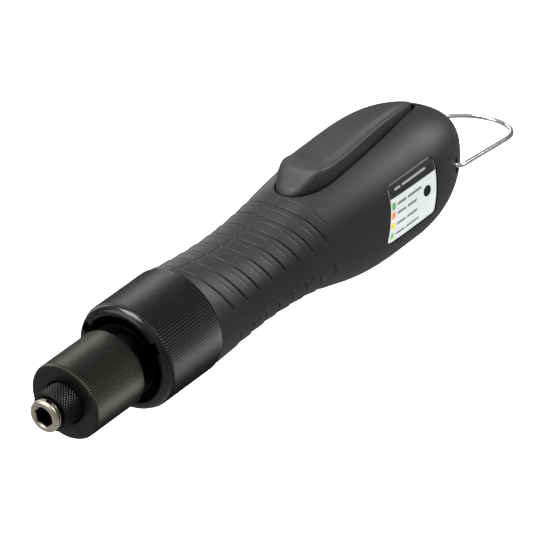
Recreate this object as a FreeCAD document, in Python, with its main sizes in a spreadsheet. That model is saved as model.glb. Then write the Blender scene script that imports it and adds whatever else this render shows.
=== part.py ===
"""Electric torque screwdriver with a lever start, modelled as an assembly of separate parts.

The origin is the middle of the bit socket's mouth. +X runs along the tool towards its tail, +Z
points up to the start lever and -Y is the side that carries the label. Lengths are millimetres.
"""
import FreeCAD, Part
import math
import os

import Sketcher

Vector = FreeCAD.Vector

# Driving dimensions. Each name is a cell of the sheet, and the model reads its sizes from there.
DIMENSIONS = {
    # Bit socket and output spindle
    "bit_flats": 6.35,
    "bit_clearance": 0.1,
    "bit_depth": 12.5,
    "bit_turn": 21.0,
    "spindle_radius": 5.0,
    "lip_radius": 5.55,
    "lip_length": 1.3,
    "clip_start": 1.75,
    "clip_width": 0.9,
    "clip_radius": 5.45,
    "clip_depth": 0.5,
    "clip_opening": 2.4,
    "clip_turn": 105.0,
    "ball_centre": 9.4,
    "ball_radius": 1.15,
    "ball_offset": 3.8,
    "shoulder_start": 15.8,
    "shoulder_width": 1.4,
    "shoulder_radius": 6.1,
    "clutch_disc_start": 53.2,
    "clutch_disc_width": 2.4,
    "clutch_disc_radius": 10.8,
    "clutch_ball_radius": 1.2,
    "clutch_ball_circle": 8.6,
    # Quick-release sleeve
    "sleeve_start": 3.3,
    "sleeve_length": 12.0,
    "sleeve_radius": 7.2,
    "sleeve_lead": 1.1,
    "sleeve_relief": 6.2,
    "sleeve_spring_wire": 0.45,
    "sleeve_spring_turns": 4.0,
    # Torque nut, spring and seat
    "nut_start": 10.2,
    "nut_length": 24.3,
    "nut_radius": 13.5,
    "nut_chamfer": 0.7,
    "nut_front_wall": 9.8,
    "nut_teeth": 100,
    "nut_tooth_depth": 0.3,
    "seat_flange": 2.0,
    "seat_spigot": 2.0,
    "seat_radius": 9.4,
    "torque_spring_wire": 1.2,
    "torque_spring_turns": 6.0,
    "torque_spring_radius": 6.7,
    # Clutch case with its threaded nose
    "case_nose_start": 27.0,
    "case_nose_radius": 9.7,
    "case_bore": 8.6,
    "case_step_start": 40.0,
    "case_step_radius": 12.4,
    "case_flange_start": 49.9,
    "case_flange_width": 4.2,
    "case_flange_radius": 16.3,
    "case_radius": 13.6,
    "case_chamber": 12.2,
    "case_end": 80.0,
    "case_cover_width": 2.0,
    "case_cover_hole": 4.6,
    # Knurled collar and glossy nose ring
    "collar_start": 41.85,
    "collar_end": 67.1,
    "collar_radius": 18.9,
    "collar_chamfer": 0.5,
    "collar_teeth": 118,
    "collar_tooth_depth": 0.35,
    "nose_start": 39.4,
    "nose_radius": 18.4,
    "nose_crest_radius": 17.2,
    "nose_bore": 15.5,
    "nose_wall": 0.75,
    "nose_slot_width": 4.1,
    "nose_slot_depth": 2.0,
    # Gears
    "gear_module": 0.6,
    "sun_teeth": 12,
    "planet_teeth": 12,
    "ring_start": 59.6,
    "ring_length": 18.2,
    "gear_width": 6.2,
    "stage_pitch": 9.6,
    "planet_count": 3,
    "planet_pin_radius": 1.0,
    "carrier_width": 2.2,
    "carrier_radius": 9.6,
    "carrier_start": 57.0,
    # Motor
    "motor_start": 80.3,
    "motor_length": 41.0,
    "motor_radius": 11.8,
    "motor_wall": 0.8,
    "motor_cap": 3.0,
    "motor_web": 1.4,
    "motor_shaft_gap": 0.6,
    "motor_shaft_radius": 1.5,
    "motor_bearing_radius": 4.0,
    "motor_bearing_width": 2.6,
    "stator_start": 89.0,
    "stator_length": 23.0,
    "stator_bore": 6.9,
    "rotor_radius": 6.5,
    "stator_slots": 6,
    "stator_tooth": 3.0,
    # Housing
    "wall": 2.2,
    "split_gap": 0.06,
    "neck_radius": 16.4,
    "rib_width": 2.0,
    "tail_start": 176.0,
    "tail_length": 35.5,
    "tail_end": 209.8,
    "groove_depth": 0.45,
    "groove_width": 0.5,
    "groove_pitch": 7.0,
    "groove_first": 75.5,
    "groove_count": 8,
    "groove_lean": 21.0,
    "groove_upper_end": 4.4,
    "groove_lower_end": 4.2,
    "groove_lower_shift": 1.7,
    "groove_hook": 3.6,
    # Start lever
    "lever_nose": 125.6,
    "lever_width": 17.6,
    "lever_shoulder": 143.0,
    "lever_tail": 196.2,
    "lever_gap": 0.45,
    "lever_top": 24.0,
    "lever_bottom": 11.0,
    "lever_hollow_depth": 7.0,
    "lever_overlap": 1.0,
    "lever_rib_half": 1.5,
    "lever_rib_side": 3.0,
    "lever_toe_half": 3.4,
    "lever_toe_height": 2.6,
    "lever_dish": 0.9,
    "lever_pivot_x": 189.0,
    "lever_pivot_z": 13.4,
    "lever_pin_radius": 1.25,
    "lever_pin_length": 16.0,
    "lever_toe": 3.2,
    "lever_cheek": 4.0,
    "lever_rib_x": 170.0,
    "lever_spring_x": 141.0,
    "lever_spring_radius": 2.4,
    "lever_spring_wire": 0.5,
    "lever_spring_turns": 6.0,
    # Switch, board and direction switch
    "shelf_top": 1.8,
    "shelf_width": 1.8,
    "micro_length": 12.8,
    "micro_width": 5.8,
    "micro_height": 6.5,
    "plunger_radius": 0.9,
    "plunger_height": 1.4,
    "board_x": 134.5,
    "board_length": 52.0,
    "board_y": 13.4,
    "board_thickness": 1.6,
    "board_bottom": 11.0,
    "board_height": 18.0,
    "board_post_radius": 2.2,
    "direction_x": 160.0,
    "direction_z": -5.0,
    "direction_side": 17.6,
    "direction_depth": 5.6,
    "direction_length": 14.0,
    "direction_height": 6.8,
    "direction_slot": 9.0,
    "direction_slot_height": 3.6,
    "direction_knob": 4.4,
    "knob_seat": 1.4,
    "knob_length": 5.2,
    # Label, lens and lamp
    "label_depth": 0.9,
    "label_skin": 0.25,
    "label_gap": 0.25,
    "label_corner": 3.0,
    "lens_x": 174.4,
    "lens_z": 0.0,
    "lens_radius": 1.9,
    "lamp_radius": 1.5,
    "lamp_height": 2.6,
    # Power socket
    "socket_radius": 6.1,
    "socket_bore": 4.65,
    "socket_depth": 7.5,
    "socket_length": 10.5,
    "contact_radius": 0.5,
    "contact_circle": 2.6,
    "contact_length": 3.4,
    "contact_count": 5,
    # Bail
    "bail_x": 195.0,
    "bail_z": -1.5,
    "bail_wire": 0.8,
    "bail_half_width": 19.4,
    "bail_loop_radius": 14.5,
    "bail_leg": 32.0,
    "bail_droop": 12.0,
    "bail_tongue": 5.0,
    "bail_bend": 2.4,
    "bail_slot_height": 5.4,
    "bail_slot_depth": 3.0,
    # Screws and fits
    "screw_radius": 1.3,
    "screw_head_radius": 2.4,
    "screw_head_height": 1.8,
    "screw_length": 18.0,
    "screw_seat": 8.0,
    "boss_radius": 3.0,
    "running_fit": 0.05,
    "slip_fit": 0.2,
}

# Sections of the moulded housing from the collar back to the widest place of the tail:
# station along X, half width, height above the axis, depth below it, squareness.
STATIONS = (
    (67.1, 18.6, 18.6, 18.6, 2.0),
    (80.0, 18.0, 16.2, 17.3, 2.15),
    (96.0, 17.4, 14.5, 15.9, 2.3),
    (112.0, 17.6, 15.2, 16.8, 2.3),
    (126.0, 18.5, 17.0, 18.8, 2.3),
    (140.0, 20.0, 18.6, 22.6, 2.3),
    (155.0, 21.1, 19.6, 25.0, 2.3),
    (176.0, 21.3, 19.9, 25.1, 2.3),
)
TAIL_ANGLES = (14, 27, 39, 50, 60, 69, 77)

# Corners of the label plate as x, z, going round from the upper front corner.
LABEL_CORNERS = ((155.7, 10.2), (181.2, 10.2), (178.9, -10.9), (152.3, -10.9))
# Screw places as x, z.
SCREW_PLACES = ((128.5, -12.6), (184.6, -15.2), (201.0, 9.2))
# Motor webs along X, and a reach that is well outside the housing.
MOTOR_WEBS = (86.0, 103.0, 116.5)
HOUSING_REACH = 30
# Straight runs in one turn of a spring, and sides of its wire.
COIL_RUNS = 12
WIRE_SIDES = 6
# Half height of the slices that cut the grip's grooves, well clear of the housing.
GRIP_REACH = 24
BOARD_PARTS = ((0.12, 0.62, 7.0, 7.0, 3.2), (0.34, 0.30, 5.0, 4.0, 1.8), (0.50, 0.66, 4.0, 4.0, 1.6),
               (0.30, 0.72, 6.0, 4.5, 1.8), (0.60, 0.22, 8.0, 4.0, 2.2), (0.88, 0.26, 4.0, 6.0, 2.4))

doc = FreeCAD.newDocument("TorqueScrewdriver")


class Size:
    """A length or angle that is known both as a number and as an expression on the sheet."""

    def __init__(self, text, value):
        self.text = text
        self.value = value

    def join(self, other, sign, result):
        text = other.text if isinstance(other, Size) else repr(other)
        return Size(f"({self.text} {sign} {text})", result)

    def __add__(self, other):
        return self.join(other, "+", self.value + number(other))

    def __sub__(self, other):
        return self.join(other, "-", self.value - number(other))

    def __mul__(self, other):
        return self.join(other, "*", self.value * number(other))

    def __truediv__(self, other):
        return self.join(other, "/", self.value / number(other))

    def __radd__(self, other):
        return Size(f"({other!r} + {self.text})", other + self.value)

    def __rsub__(self, other):
        return Size(f"({other!r} - {self.text})", other - self.value)

    def __rmul__(self, other):
        return Size(f"({other!r} * {self.text})", other * self.value)

    def __neg__(self):
        return Size(f"(0 - {self.text})", -self.value)


def number(size):
    """The plain value of a size or of a number."""
    return size.value if isinstance(size, Size) else size


def make_sheet():
    """Fill the sheet with the driving dimensions and return them as sizes by name."""
    sheet = doc.addObject("Spreadsheet::Sheet", "Sizes")
    sizes = {}
    for row, (alias, value) in enumerate(DIMENSIONS.items(), start=1):
        sheet.set(f"A{row}", alias)
        sheet.set(f"B{row}", str(value))
        sheet.setAlias(f"B{row}", alias)
        sizes[alias] = Size(f"Sizes.{alias}", value)
    doc.recompute()
    return sizes


class Names:
    """Gives each driving dimension as an attribute, such as D.nut_radius."""

    def __init__(self, sizes):
        self.__dict__.update(sizes)


D = Names(make_sheet())
parts = {}


def bind(thing, prop, size):
    """Set a property and tie it to the sheet where it is a size."""
    if isinstance(size, Size):
        thing.setExpression(prop, size.text)
    else:
        setattr(thing, prop, size)


def keep(thing, label):
    """Name an object as a sub-part of the product."""
    thing.Label = label
    parts[label] = thing
    return thing


# Sketched bodies

def new_body(label):
    return doc.addObject("PartDesign::Body", f"{label}_body")


def origin_plane(body, role):
    return next(plane for plane in body.Origin.OriginFeatures if plane.Role == role)


def outline(body, role, points, offset=0):
    """A closed outline in an origin plane, with every corner's two coordinates tied to the sheet."""
    sketch = body.newObject("Sketcher::SketchObject", f"{body.Name}_outline")
    sketch.AttachmentSupport = [(origin_plane(body, role), "")]
    sketch.MapMode = "FlatFace"
    if isinstance(offset, Size):
        sketch.setExpression("AttachmentOffset.Base.z", offset.text)
    count = len(points)
    places = [Vector(number(across), number(up), 0) for across, up in points]
    for index in range(count):
        sketch.addGeometry(Part.LineSegment(places[index], places[(index + 1) % count]))
    for index in range(count):
        sketch.addConstraint(Sketcher.Constraint("Coincident", index, 2, (index + 1) % count, 1))
    for index, (across, up) in enumerate(points):
        for kind, size in (("DistanceX", across), ("DistanceY", up)):
            place = sketch.addConstraint(Sketcher.Constraint(kind, index, 1, number(size)))
            if isinstance(size, Size):
                sketch.setExpression(f"Constraints[{place}]", size.text)
    return sketch


def turned(label, points):
    """A turned part: its half section (x, radius) spun round the X axis."""
    body = new_body(label)
    sketch = outline(body, "XZ_Plane", points)
    spin = body.newObject("PartDesign::Revolution", f"{label}_turning")
    spin.Profile = sketch
    spin.ReferenceAxis = (sketch, ["H_Axis"])
    spin.Angle = 360
    sketch.Visibility = False
    doc.recompute()
    return keep(body, label)


def tube_outline(start, end, outer, inner):
    return [(start, inner), (start, outer), (end, outer), (end, inner)]


def prism_pocket(body, label, points, start, length):
    """Cut an outline in the YZ plane along +X from start, over the given length."""
    before = body.Shape.Volume
    sketch = outline(body, "YZ_Plane", points, start)
    cut = body.newObject("PartDesign::Pocket", label)
    cut.Profile = sketch
    bind(cut, "Length", length)
    cut.Reversed = True
    doc.recompute()
    if body.Shape.Volume >= before:
        raise RuntimeError(f"{label} cuts nothing")
    return cut


def repeat_round(body, label, feature, count):
    """Repeat a feature evenly round the X axis."""
    pattern = body.newObject("PartDesign::PolarPattern", label)
    pattern.Originals = [feature]
    pattern.Axis = (feature.Profile[0], ["N_Axis"])
    pattern.Angle = 360
    bind(pattern, "Occurrences", count)
    body.Tip = pattern
    doc.recompute()
    return pattern


def knurl(body, label, radius, depth, count, start, length):
    """Straight knurling: V grooves along the outside of a turned part."""
    half_groove = radius * (math.pi * 0.36) / count
    groove = [(-half_groove * 1.6, radius + depth * 0.6), (Size("0", 0), radius - depth),
              (half_groove * 1.6, radius + depth * 0.6)]
    cut = prism_pocket(body, f"{label}_groove", groove, start, length)
    return repeat_round(body, f"{label}_knurl", cut, count)


# Solid primitives and booleans

def cylinder(name, radius, length, place=(0, 0, 0), axis="X"):
    """A round bar that starts at a place and runs along +X, +Y or +Z."""
    bar = doc.addObject("Part::Cylinder", name)
    bind(bar, "Radius", radius)
    bind(bar, "Height", length)
    turn = {"X": (Vector(0, 1, 0), 90), "Y": (Vector(1, 0, 0), -90), "Z": (Vector(0, 0, 1), 0)}[axis]
    bar.Placement = FreeCAD.Placement(Vector(), FreeCAD.Rotation(*turn))
    put(bar, place)
    return bar


def put(thing, place):
    """Put a thing at a place whose coordinates may be sizes."""
    placement = thing.Placement
    placement.Base = Vector(*[number(size) for size in place])
    thing.Placement = placement
    for letter, size in zip("xyz", place):
        if isinstance(size, Size):
            thing.setExpression(f"Placement.Base.{letter}", size.text)


def block(name, low, spans):
    """A box by its lowest corner and its three spans."""
    box = doc.addObject("Part::Box", name)
    for prop, size in zip(("Length", "Width", "Height"), spans):
        bind(box, prop, size)
    put(box, low)
    return box


def ball(name, radius, place):
    round_part = doc.addObject("Part::Sphere", name)
    bind(round_part, "Radius", radius)
    put(round_part, place)
    return round_part


def cut(name, base, *tools):
    """Cut one or more tools from a base."""
    result = base
    for index, tool in enumerate(tools):
        step = doc.addObject("Part::Cut", name if index == len(tools) - 1 else f"{name}_{index}")
        step.Base = result
        step.Tool = tool
        result = step
    return result


def fuse(name, *things):
    joined = doc.addObject("Part::MultiFuse", name)
    joined.Shapes = list(things)
    return joined


def common(name, first, second):
    shared = doc.addObject("Part::Common", name)
    shared.Base = first
    shared.Tool = second
    return shared


def feature(name, shape):
    """An object whose shape is made here from the sheet's sizes."""
    made = doc.addObject("Part::Feature", name)
    made.Shape = shape
    return made


def group(label, solids):
    """Several separate solids kept together as one sub-part, such as a set of screws."""
    doc.recompute()
    return keep(feature(label, Part.makeCompound([solid.Shape for solid in solids])), label)


def prism(name, points, low, span, axis):
    """A straight-sided solid: a closed outline of two coordinates carried along the third axis."""
    order = {"X": (2, 0, 1), "Y": (0, 2, 1), "Z": (0, 1, 2)}[axis]
    corners = []
    for first, second in points:
        flat = (first, second, low)
        corners.append(Vector(*[flat[index] for index in order]))
    way = Vector(*[(0, 0, span)[index] for index in order])
    face = Part.Face(Part.makePolygon(corners + corners[:1]))
    return feature(name, face.extrude(way))


def coil(label, wire, radius, length, turns, place, axis="X"):
    """A compression spring wound in short straight runs, from a place along +X or +Z."""
    runs = int(turns * COIL_RUNS)
    sections = []
    for run in range(runs + 1):
        turn = 2 * math.pi * run / COIL_RUNS
        out = Vector(math.cos(turn), math.sin(turn), 0)
        centre = out * radius + Vector(0, 0, length * run / runs)
        corners = []
        for side in range(WIRE_SIDES):
            bend = 2 * math.pi * (side + 0.5) / WIRE_SIDES
            rise = Vector(0, 0, wire / 2 * math.sin(bend))
            corners.append(centre + out * (wire / 2 * math.cos(bend)) + rise)
        sections.append(Part.makePolygon(corners + corners[:1]))
    spring = Part.makeLoft(sections, True, True)
    if axis == "X":
        spring.rotate(Vector(), Vector(0, 1, 0), 90)
    spring.translate(place)
    return keep(feature(label, spring), label)


# The moulded housing's outside, and the same form drawn in by a distance

def section_wire(station, inset):
    """One closed section of the housing: a rounded square with unequal top and bottom, in four curves."""
    along, half_width, top, bottom, squareness = station
    side = half_width - inset
    pull = (8 * 2 ** (-1 / squareness) - 4) / 3
    ends = [(0, inset - bottom), (side, 0), (0, top - inset), (-side, 0), (0, inset - bottom)]
    curves = []
    for start, end in zip(ends, ends[1:]):
        corner = (start[0] + end[0], start[1] + end[1])
        near = [low + (high - low) * pull for low, high in zip(start, corner)]
        far = [low + (high - low) * pull for low, high in zip(end, corner)]
        curve = Part.BezierCurve()
        curve.setPoles([Vector(along, *point) for point in (start, near, far, end)])
        curves.append(curve.toShape())
    return Part.Wire(curves)


def all_stations():
    """The chosen stations, then the tail dome, whose sections shrink along a quarter ellipse."""
    stations = list(STATIONS)
    widest = STATIONS[-1]
    for angle in TAIL_ANGLES:
        turn = math.radians(angle)
        shrink = math.cos(turn)
        along = D.tail_start.value + D.tail_length.value * math.sin(turn)
        stations.append((along, *[reach * shrink for reach in widest[1:4]], widest[4]))
    return stations


def moulded_form(name, inset):
    """The housing's form as a loft through its sections, each drawn in by the inset."""
    wires = [section_wire(station, inset) for station in all_stations()]
    sections = [feature(f"{name}_section_{index}", wire) for index, wire in enumerate(wires)]
    loft = doc.addObject("Part::Loft", name)
    loft.Sections = sections
    loft.Solid = True
    loft.Ruled = False
    doc.recompute()
    return loft


# Gear outlines

def gear_face(teeth, place=(0, 0), turn=0.0, inward=False):
    """A toothed outline in the YZ plane. An inward gear has its teeth pointing at the axis."""
    module = D.gear_module.value
    pitch_radius = module * teeth / 2
    reach = -1 if inward else 1
    tip = pitch_radius + reach * 0.9 * module
    root = pitch_radius - reach * 1.2 * module
    step = 2 * math.pi / teeth
    corners = []
    for tooth in range(teeth):
        middle = turn + tooth * step
        for radius, share in ((root, -0.33), (tip, -0.13), (tip, 0.13), (root, 0.33)):
            angle = middle + share * step
            tip_y = place[0] + radius * math.sin(angle)
            corners.append(Vector(0, tip_y, place[1] + radius * math.cos(angle)))
    return Part.Face(Part.makePolygon(corners + corners[:1]))


def slice_along(face, start, length):
    face.translate(Vector(start, 0, 0))
    return face.extrude(Vector(length, 0, 0))


def bar_shape(radius, start, length, across=0.0, up=0.0):
    return Part.makeCylinder(radius, length, Vector(start, across, up), Vector(1, 0, 0))


# Bit socket, quick-release sleeve and output spindle

def make_spindle():
    """The output spindle: the bit socket in front, a spring shoulder, and the clutch disc behind."""
    clip_end = D.clip_start + D.clip_width
    groove_radius = D.spindle_radius - D.clip_depth
    shoulder_end = D.shoulder_start + D.shoulder_width
    disc_end = D.clutch_disc_start + D.clutch_disc_width
    rim = 0.45
    body = turned("bit_spindle_blank", [
        (0.0, 0.0), (0.0, D.lip_radius - rim), (rim, D.lip_radius), (D.lip_length, D.lip_radius),
        (D.lip_length, D.spindle_radius), (D.clip_start, D.spindle_radius),
        (D.clip_start, groove_radius), (clip_end, groove_radius), (clip_end, D.spindle_radius),
        (D.shoulder_start, D.spindle_radius), (D.shoulder_start, D.shoulder_radius),
        (shoulder_end, D.shoulder_radius), (shoulder_end, D.spindle_radius),
        (D.clutch_disc_start, D.spindle_radius), (D.clutch_disc_start, D.clutch_disc_radius),
        (disc_end, D.clutch_disc_radius), (disc_end, 0.0)])
    parts.pop("bit_spindle_blank")
    corner_radius = (D.bit_flats + D.bit_clearance) / (2 * math.cos(math.radians(30)))
    corners = []
    for corner in range(6):
        angle = math.radians(number(D.bit_turn) + 60 * corner)
        corners.append((corner_radius * math.cos(angle), corner_radius * math.sin(angle)))
    prism_pocket(body, "bit_hexagon", corners, 0, D.bit_depth)
    tools = []
    for side in (0, 180):
        tools.append(radial_bar(f"ball_hole_{side}", D.ball_radius + D.running_fit, D.ball_centre,
                                number(D.bit_turn) + 30 + side, 0, number(D.spindle_radius) + 1))
    for index, angle in enumerate(thirds(0)):
        place = (disc_end + number(D.clutch_ball_radius) * 0.35, *round_place(D.clutch_ball_circle, angle))
        tools.append(ball(f"disc_pocket_{index}", D.clutch_ball_radius + D.running_fit, place))
    keep(cut("bit_spindle", body, *tools), "bit_spindle")
    balls = [ball(f"bit_ball_{side}", D.ball_radius,
                  (D.ball_centre, *round_place(D.ball_offset, number(D.bit_turn) + 30 + side)))
             for side in (0, 180)]
    group("bit_balls", balls)


def thirds(first):
    """Angles of three things spread evenly round the axis."""
    return [first + 360 * index / number(D.planet_count) for index in range(int(number(D.planet_count)))]


def round_place(radius, angle):
    """The y and z of a place at a radius from the axis, with the angle from +Y towards +Z."""
    return radius * math.cos(math.radians(angle)), radius * math.sin(math.radians(angle))


def radial_bar(name, radius, along, angle, inner, outer):
    """A round bar that points straight out from the axis, between two distances from it."""
    way = Vector(0, math.cos(math.radians(angle)), math.sin(math.radians(angle)))
    start = Vector(number(along), 0, 0) + way * number(inner)
    return feature(name, Part.makeCylinder(number(radius), number(outer) - number(inner), start, way))


def make_retaining_ring():
    """An open ring that sits in the spindle's groove and holds the sleeve on."""
    outer = cylinder("ring_outside", D.clip_radius, D.clip_width - D.running_fit * 2,
                     (D.clip_start + D.running_fit, 0, 0))
    inner = cylinder("ring_inside", D.spindle_radius - D.clip_depth + D.running_fit, D.clip_width,
                     (D.clip_start, 0, 0))
    way = number(D.clip_turn)
    gap = Part.makeBox(3 * D.clip_width.value, 2 * D.clip_radius.value, D.clip_opening.value,
                       Vector(D.clip_start.value - D.clip_width.value, 0, -D.clip_opening.value / 2))
    gap.rotate(Vector(), Vector(1, 0, 0), way)
    keep(cut("retaining_ring", outer, inner, feature("ring_gap", gap)), "retaining_ring")


def make_sleeve():
    """The quick-release sleeve: pulled back, its inner groove comes over the balls and frees the bit."""
    start = D.sleeve_start
    bore = D.spindle_radius + D.running_fit
    land_start = D.ball_centre - D.ball_radius * 1.2
    land_end = D.ball_centre + D.ball_radius * 1.3
    relief_start = start + 2
    end = start + D.sleeve_length
    turned("bit_sleeve", [
        (start, bore), (start, D.sleeve_radius - D.sleeve_lead), (start + D.sleeve_lead, D.sleeve_radius),
        (end, D.sleeve_radius), (end, D.sleeve_relief + D.running_fit),
        (land_end, D.sleeve_relief + D.running_fit), (land_end, bore), (land_start, bore),
        (land_start, bore + 0.7), (relief_start, bore + 0.7), (relief_start, bore)])
    wire = D.sleeve_spring_wire.value
    low = land_end.value + wire / 2 + D.running_fit.value
    high = D.shoulder_start.value - wire / 2 - D.running_fit.value
    middle = (bore.value + D.sleeve_relief.value) / 2
    coil("sleeve_spring", wire, middle, high - low, D.sleeve_spring_turns.value, Vector(low, 0, 0))


# Torque adjustment and clutch

def make_torque_nut():
    """The knurled torque nut turns in place on the case's nose and drives the seat of the torque spring."""
    end = D.nut_start + D.nut_length
    hole = D.sleeve_radius + D.slip_fit * 2
    thread = D.case_nose_radius + D.slip_fit
    floor = D.nut_start + D.nut_front_wall
    nut = turned("torque_nut", [
        (D.nut_start, hole), (D.nut_start, D.nut_radius - D.nut_chamfer),
        (D.nut_start + D.nut_chamfer, D.nut_radius), (end, D.nut_radius), (end, thread),
        (floor, thread), (floor, hole)])
    knurl(nut, "nut", D.nut_radius, D.nut_tooth_depth, number(D.nut_teeth), D.nut_start + D.nut_chamfer,
          D.nut_length)
    seat_start = floor + D.running_fit
    turned("spring_seat", [
        (seat_start, D.spindle_radius + D.running_fit), (seat_start, D.seat_radius),
        (seat_start + D.seat_flange, D.seat_radius), (seat_start + D.seat_flange, D.case_bore - D.slip_fit),
        (seat_start + D.seat_flange + D.seat_spigot, D.case_bore - D.slip_fit),
        (seat_start + D.seat_flange + D.seat_spigot, D.spindle_radius + D.running_fit)])
    wire = D.torque_spring_wire.value
    low = (seat_start + D.seat_flange + D.seat_spigot + D.running_fit).value + wire / 2
    high = (thrust_start() - D.running_fit).value - wire / 2
    coil("torque_spring", wire, D.torque_spring_radius.value, high - low, D.torque_spring_turns.value,
         Vector(low, 0, 0))


def thrust_start():
    return D.clutch_disc_start - 2


def make_clutch():
    """The case that holds clutch and gears, the thrust ring, the clutch balls and the rear cover."""
    flange_end = D.case_flange_start + D.case_flange_width
    chamber_start = thrust_start() - D.running_fit
    turned("clutch_case", [
        (D.case_nose_start, D.case_bore), (D.case_nose_start, D.case_nose_radius),
        (D.case_step_start, D.case_nose_radius), (D.case_step_start, D.case_step_radius),
        (D.case_flange_start, D.case_step_radius), (D.case_flange_start, D.case_flange_radius),
        (flange_end, D.case_flange_radius), (flange_end, D.case_radius), (D.case_end, D.case_radius),
        (D.case_end, D.case_chamber), (chamber_start, D.case_chamber), (chamber_start, D.case_bore)])
    turned("thrust_ring", tube_outline(thrust_start(), D.clutch_disc_start - D.running_fit,
                                       D.case_chamber - D.slip_fit, D.spindle_radius + D.running_fit))
    disc_end = D.clutch_disc_start + D.clutch_disc_width
    middle = disc_end + number(D.clutch_ball_radius) * 0.35
    group("clutch_balls", [ball(f"clutch_ball_{index}", D.clutch_ball_radius,
                                (middle, *round_place(D.clutch_ball_circle, angle)))
                           for index, angle in enumerate(thirds(0))])
    turned("case_cover", tube_outline(D.case_end - D.case_cover_width, D.case_end,
                                      D.case_chamber - D.running_fit, D.case_cover_hole))


# Planetary gears: two stages in one long ring gear

def pitch_offset():
    """Distance from the axis to a planet's centre."""
    return D.gear_module.value * (D.sun_teeth.value + D.planet_teeth.value) / 2


def ring_teeth():
    return D.sun_teeth.value + 2 * D.planet_teeth.value


def stage_start(stage):
    """Where a stage's gears start along X. Stage 2 drives the spindle, stage 1 sits by the motor."""
    return D.carrier_start.value + D.carrier_width.value + 0.4 + (2 - stage) * D.stage_pitch.value


def make_planets():
    for stage in (1, 2):
        for index, angle in enumerate(thirds(90)):
            place = round_place(pitch_offset(), angle)
            face = gear_face(int(D.planet_teeth.value), place, math.radians(90 - angle) + half_tooth())
            solid = slice_along(face, stage_start(stage) + 0.2, D.gear_width.value - 0.4)
            hole = bar_shape(D.planet_pin_radius.value + D.running_fit.value, 0, 100, *place)
            label = f"stage{stage}_planet_{index + 1}"
            keep(feature(label, solid.cut(hole)), label)


def half_tooth():
    """Half a planet tooth as an angle, which turns a gap towards the sun gear."""
    return math.pi / D.planet_teeth.value


def make_carrier(label, stage, solids):
    """A carrier plate with three pins behind it, and what else is part of the same piece."""
    start = stage_start(stage) - D.carrier_width.value - 0.4
    shape = bar_shape(D.carrier_radius.value, start, D.carrier_width.value)
    for angle in thirds(90):
        pin_length = D.gear_width.value + 0.4
        pin = bar_shape(D.planet_pin_radius.value, start + D.carrier_width.value, pin_length,
                        *round_place(pitch_offset(), angle))
        shape = shape.fuse(pin)
    for solid in solids:
        shape = shape.fuse(solid)
    return shape


def make_gears():
    """The ring gear, the two carriers and the sun gears."""
    ring = bar_shape(D.case_chamber.value - D.running_fit.value, D.ring_start.value, D.ring_length.value)
    hollow = slice_along(gear_face(ring_teeth(), inward=True), D.ring_start.value, D.ring_length.value)
    keep(feature("ring_gear", ring.cut(hollow)), "ring_gear")
    output = make_carrier("output_carrier", 2, [])
    for angle in thirds(0):
        pocket = Part.makeSphere(D.clutch_ball_radius.value + D.running_fit.value)
        middle = D.clutch_disc_start.value + D.clutch_disc_width.value + D.clutch_ball_radius.value * 0.35
        pocket.translate(Vector(middle, *round_place(D.clutch_ball_circle.value, angle)))
        output = output.cut(pocket)
    keep(feature("output_carrier", output), "output_carrier")
    sun = slice_along(gear_face(int(D.sun_teeth.value)), stage_start(2),
                      stage_start(1) - D.carrier_width.value - 0.4 - stage_start(2))
    keep(feature("stage1_carrier", make_carrier("stage1_carrier", 1, [sun])), "stage1_carrier")
    make_planets()


# Brushless motor

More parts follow.
